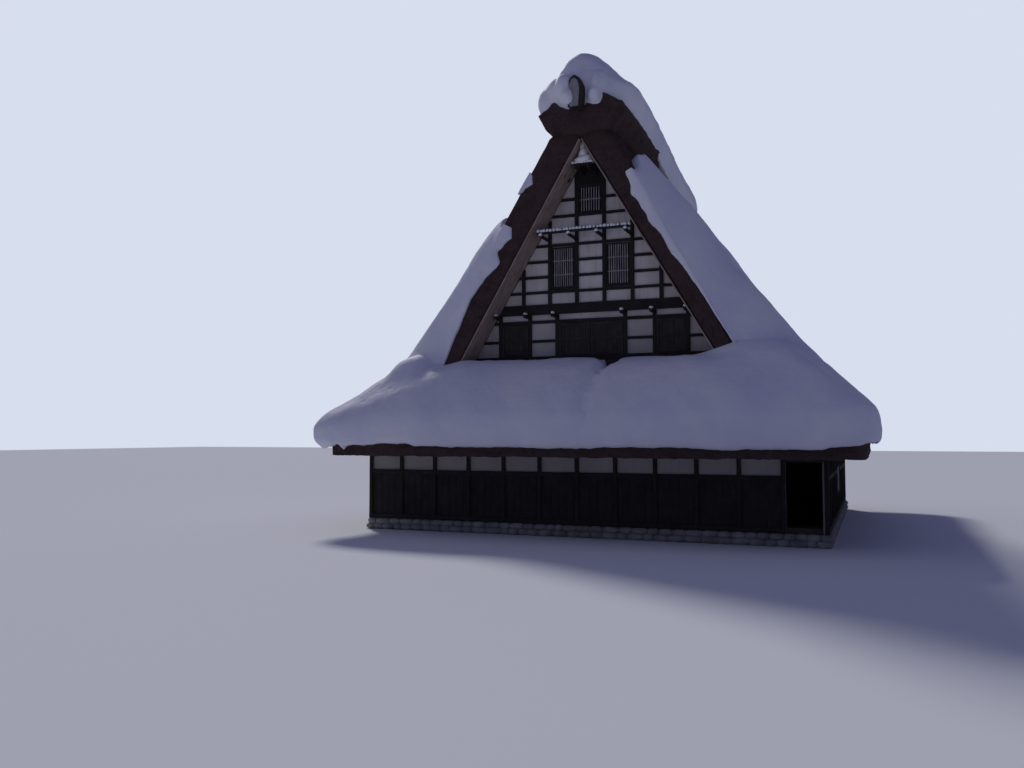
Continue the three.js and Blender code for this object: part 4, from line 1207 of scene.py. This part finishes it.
def ground_side(depth, start, end, posts, top, seed, window=False):
    """Sill, posts, rails and the dado's upright boards of one side from start to end, at y = -depth.
    Near the corners the posts of a gable side end under the long skirts."""
    y = -depth + TIMBER / 2
    parts = []
    for i, x in enumerate(posts):
        reach = min(top, BEND_Z - SKIRT_SLOPE * (abs(x) - BEND_X) - SKIRT_THICK) if top > SIDE_TOP else top
        for low, high in spans_clear(x, FOOTING_TOP, reach, window):
            parts.append(upright(x, y - 0.004, low, high, POST, TIMBER, seed + i))
    rails = [((FOOTING_TOP + FLOOR_TOP) / 2, 0.15), (DADO_TOP + POST / 2, POST), (LINTEL_Z, POST),
             (top - POST / 2, POST)]
    for i, (z, high) in enumerate(rails):
        cut = window and WINDOW_LOW < z < WINDOW_HIGH
        for a, b in ((start, -CLEAR), (CLEAR, end)) if cut else ((start, end),):
            parts.append(level(a, b, y, z, TIMBER, high, seed + 20 + i))
    count = round((end - start) / BOARD_WIDTH)
    wide = (end - start) / count
    for i in range(count):
        x = start + wide * (i + 0.5)
        for low, high in spans_clear(x, FLOOR_TOP, DADO_TOP, window):
            parts.append(upright(x, y + 0.02, low, high, wide - 0.005, 0.025, seed + 40 + i))
    return joined(parts)


def post_places(half):
    """Middles of a wall's posts, a bay apart, of which the end ones stay inside its ends."""
    bay = 2 * half / BAYS
    return [max(POST / 2 - half, min(half - POST / 2, -half + i * bay)) for i in range(BAYS + 1)]


def make_ground_timbers():
    """Frames of the four ground-floor walls, and the post and head of the open bay on the right."""
    posts = post_places(WALL_X)
    open_from = WALL_X - CLEAR
    y = -WALL_Y + TIMBER / 2
    corner = [upright(WALL_X - POST / 2, y, FOOTING_TOP, SIDE_TOP, POST, TIMBER, 2201),
              level(open_from, WALL_X, y, DOOR_TOP + 0.12, TIMBER, 0.24, 2202)]
    for i in range(4):
        x = open_from + (WALL_X - open_from) * (i + 0.5) / 4
        corner.append(upright(x, y + 0.02, DOOR_TOP + 0.2, END_TOP, 0.28, 0.025, 2210 + i))
    made = {
        "back_wall": turned(ground_side(WALL_Y, -WALL_X, WALL_X, posts, END_TOP, 2001)),
        "front_wall": ground_side(WALL_Y, -WALL_X, open_from, posts[:BAYS], END_TOP, 2101),
        "front_door": joined(corner),
    }
    half = WALL_Y - TIMBER
    for i, (side, sign) in enumerate(SIDES.items()):
        part = ground_side(WALL_X, -half, half, post_places(half), SIDE_TOP, 2301 + 100 * i, True)
        made[f"{side}_wall"] = turned(part, sign * math.pi / 2)
    for name, part in made.items():
        piece(f"{name}_timbers", [part], TIMBER_FINISH, [f"{name}_frame"])


def make_inner_posts():
    """Posts through the ground floor under each gable, and the beam that they carry."""
    y, low = -GABLE_Y + 0.085, GABLE_FOOT - 0.25
    reach = BEND_X + (BEND_Z - SKIRT_THICK - GABLE_FOOT) / SKIRT_SLOPE - 0.04
    parts = [level(-reach, reach, y, low + 0.125, 0.17, 0.25, 2501)]
    for i, x in enumerate((-4.1, -1.4, 1.4, 4.1)):
        parts.append(upright(x, y, FLOOR_TOP, low + 0.01, 0.18, 0.17, 2510 + i))
    both_gables("inner_timbers", joined(parts), TIMBER_FINISH, "inner_posts")


def make_footing():
    """Field stones in two courses round the house, on a core that fills the ring behind them."""
    draw = np.random.RandomState(55)
    outer = np.array([WALL_X + 0.08, WALL_Y + 0.08])
    core = rounded_rectangle(0.42, 0.33, 0.02)
    parts = []
    for course, (low, high) in enumerate(((0.0, 0.19), (0.17, 0.35))):
        for axis, sign in ((0, -1), (0, 1), (1, -1), (1, 1)):
            place = -outer[axis] + 0.1 * course
            while place < outer[axis] - 0.1:
                wide = min(draw.uniform(0.26, 0.5), outer[axis] - place)
                deep = 0.14 + draw.uniform(-0.02, 0.02)
                spot = [place + wide / 2, sign * (outer[1 - axis] - deep)]
                size = [wide * 0.53, deep]
                if axis:
                    spot, size = spot[::-1], size[::-1]
                parts.append(block([*spot, (low + high) / 2], [*size, 0.1], int(draw.randint(1, 10 ** 6))))
                place += wide
    for sign in (-1, 1):
        for axis in (0, 1):
            ends = np.full((2, 3), 0.168)
            ends[:, axis] = 0.1 - outer[axis], outer[axis] - 0.1
            ends[:, 1 - axis] = sign * (outer[1 - axis] - 0.3)
            parts.append(carried(core, *ends, (axis, 1 - axis, 0), 3))
    piece("footing_stones", parts, STONE_FINISH, ["stone_footing"], 50)


def block(middle, halves, seed):
    """A stone: a sphere squared off by the fourth root of the sum of its numbers' fourth powers, and
    dented by noise. None reaches below the ground."""
    unit = unit_ball(6, 10)
    size = (unit ** 4).sum(-1, keepdims=True) ** 0.25
    dents = 1 + 0.06 * noise(unit * 2 + seed % 97, 1.0, seed % 991)[..., None]
    points = np.asarray(middle) + unit / size * dents * np.asarray(halves) * 0.97
    points[..., 2] = np.maximum(points[..., 2], 0.002)
    return tube(points)


# Finishes of the part's own pieces

KEPT = {
    PLASTER_FINISH: ["front_gable_wall", "back_gable_wall", "front_wall", "front_wall_over_door",
                     "back_wall", "left_wall", "right_wall"],
    FLOOR_FINISH: ["ground_floor", "loft_floor_lower", "loft_floor_middle", "loft_floor_upper"],
}


def finish_kept_pieces():
    """Gives the part's own pieces that still show their finishes."""
    for material, names in KEPT.items():
        for name in names:
            for slot in bpy.data.objects[name].material_slots:
                slot.material = material


# Camera, light and floor

CAMERA_PLACE = (8.29, -32.63, 3.05)
CAMERA_YAW, CAMERA_PITCH = math.radians(21.97), math.radians(3.22)
CAMERA_LENS = 31.64
SKY_COLOUR = colour(0.68, 0.73, 0.85)
AMBIENT_COLOUR = colour(0.47, 0.51, 1.0)
AMBIENT = 0.173


def make_camera():
    """The camera, where the photograph was taken from."""
    data = bpy.data.cameras.new("camera")
    data.lens = CAMERA_LENS
    data.sensor_width = 36
    data.clip_end = 500
    camera = put("camera", data)
    camera.location = CAMERA_PLACE
    camera.rotation_euler = (math.pi / 2 + CAMERA_PITCH, 0, CAMERA_YAW)
    bpy.context.scene.camera = camera


def soft_light(name, place, strength, width, tint):
    """Light from the direction of the given place, as wide in degrees as the patch of sky it is from."""
    x, y, z = place
    data = bpy.data.lights.new(name, "SUN")
    data.energy = strength
    data.angle = math.radians(width)
    data.color = tint
    made = put(name, data)
    made.location = place
    made.rotation_euler = (math.atan2(math.hypot(x, y), z), 0, math.atan2(x, -y))


def make_light():
    """Pale backdrop sky, dim blue light from all round, a soft key from behind on the left, and a broad,
    weak fill from the left."""
    world = bpy.data.worlds.new("overcast")
    world.use_nodes = True
    tree = world.node_tree
    tree.nodes.clear()
    seen = shade(tree, "Background", {"Color": SKY_COLOUR, "Strength": 1.0}).outputs[0]
    lit = shade(tree, "Background", {"Color": AMBIENT_COLOUR, "Strength": AMBIENT}).outputs[0]
    camera_ray = shade(tree, "LightPath").outputs["Is Camera Ray"]
    both = shade(tree, "MixShader", {0: camera_ray, 1: lit, 2: seen}).outputs[0]
    shade(tree, "OutputWorld", {"Surface": both})
    scene = bpy.context.scene
    scene.world = world
    scene.view_settings.view_transform = "Standard"
    scene.view_settings.look = "None"
    soft_light("key", (-26, 32, 33), 1.45, 10, (1.0, 0.97, 0.93))
    soft_light("fill", (-36, -6, 22), 0.14, 60, (1.0, 0.94, 0.88))


def make_floor():
    """A plain pale floor."""
    size, z = 150.0, -0.003
    mesh = bpy.data.meshes.new("floor")
    corners = [(-size, -size, z), (size, -size, z), (size, size, z), (-size, size, z)]
    mesh.from_pydata(corners, [], [(0, 1, 2, 3)])
    made, _, shader = new_material("floor_finish", 0.1)
    shader.inputs["Roughness"].default_value = 0.9
    shader.inputs["Base Color"].default_value = colour(0.86, 0.88, 0.92)
    mesh.materials.append(made)
    put("floor", mesh)


make_camera()
make_light()
make_floor()
make_roof_snow()
make_ridge_snow()
for name in SIDES:
    make_main_thatch(name)
make_skirts()
make_ridge()
make_soffits()
make_gable_timbers()
make_doors()
make_windows()
make_poles()
make_small_snow()
make_snow_patch()
make_ground_timbers()
make_inner_posts()
make_footing()
finish_kept_pieces()
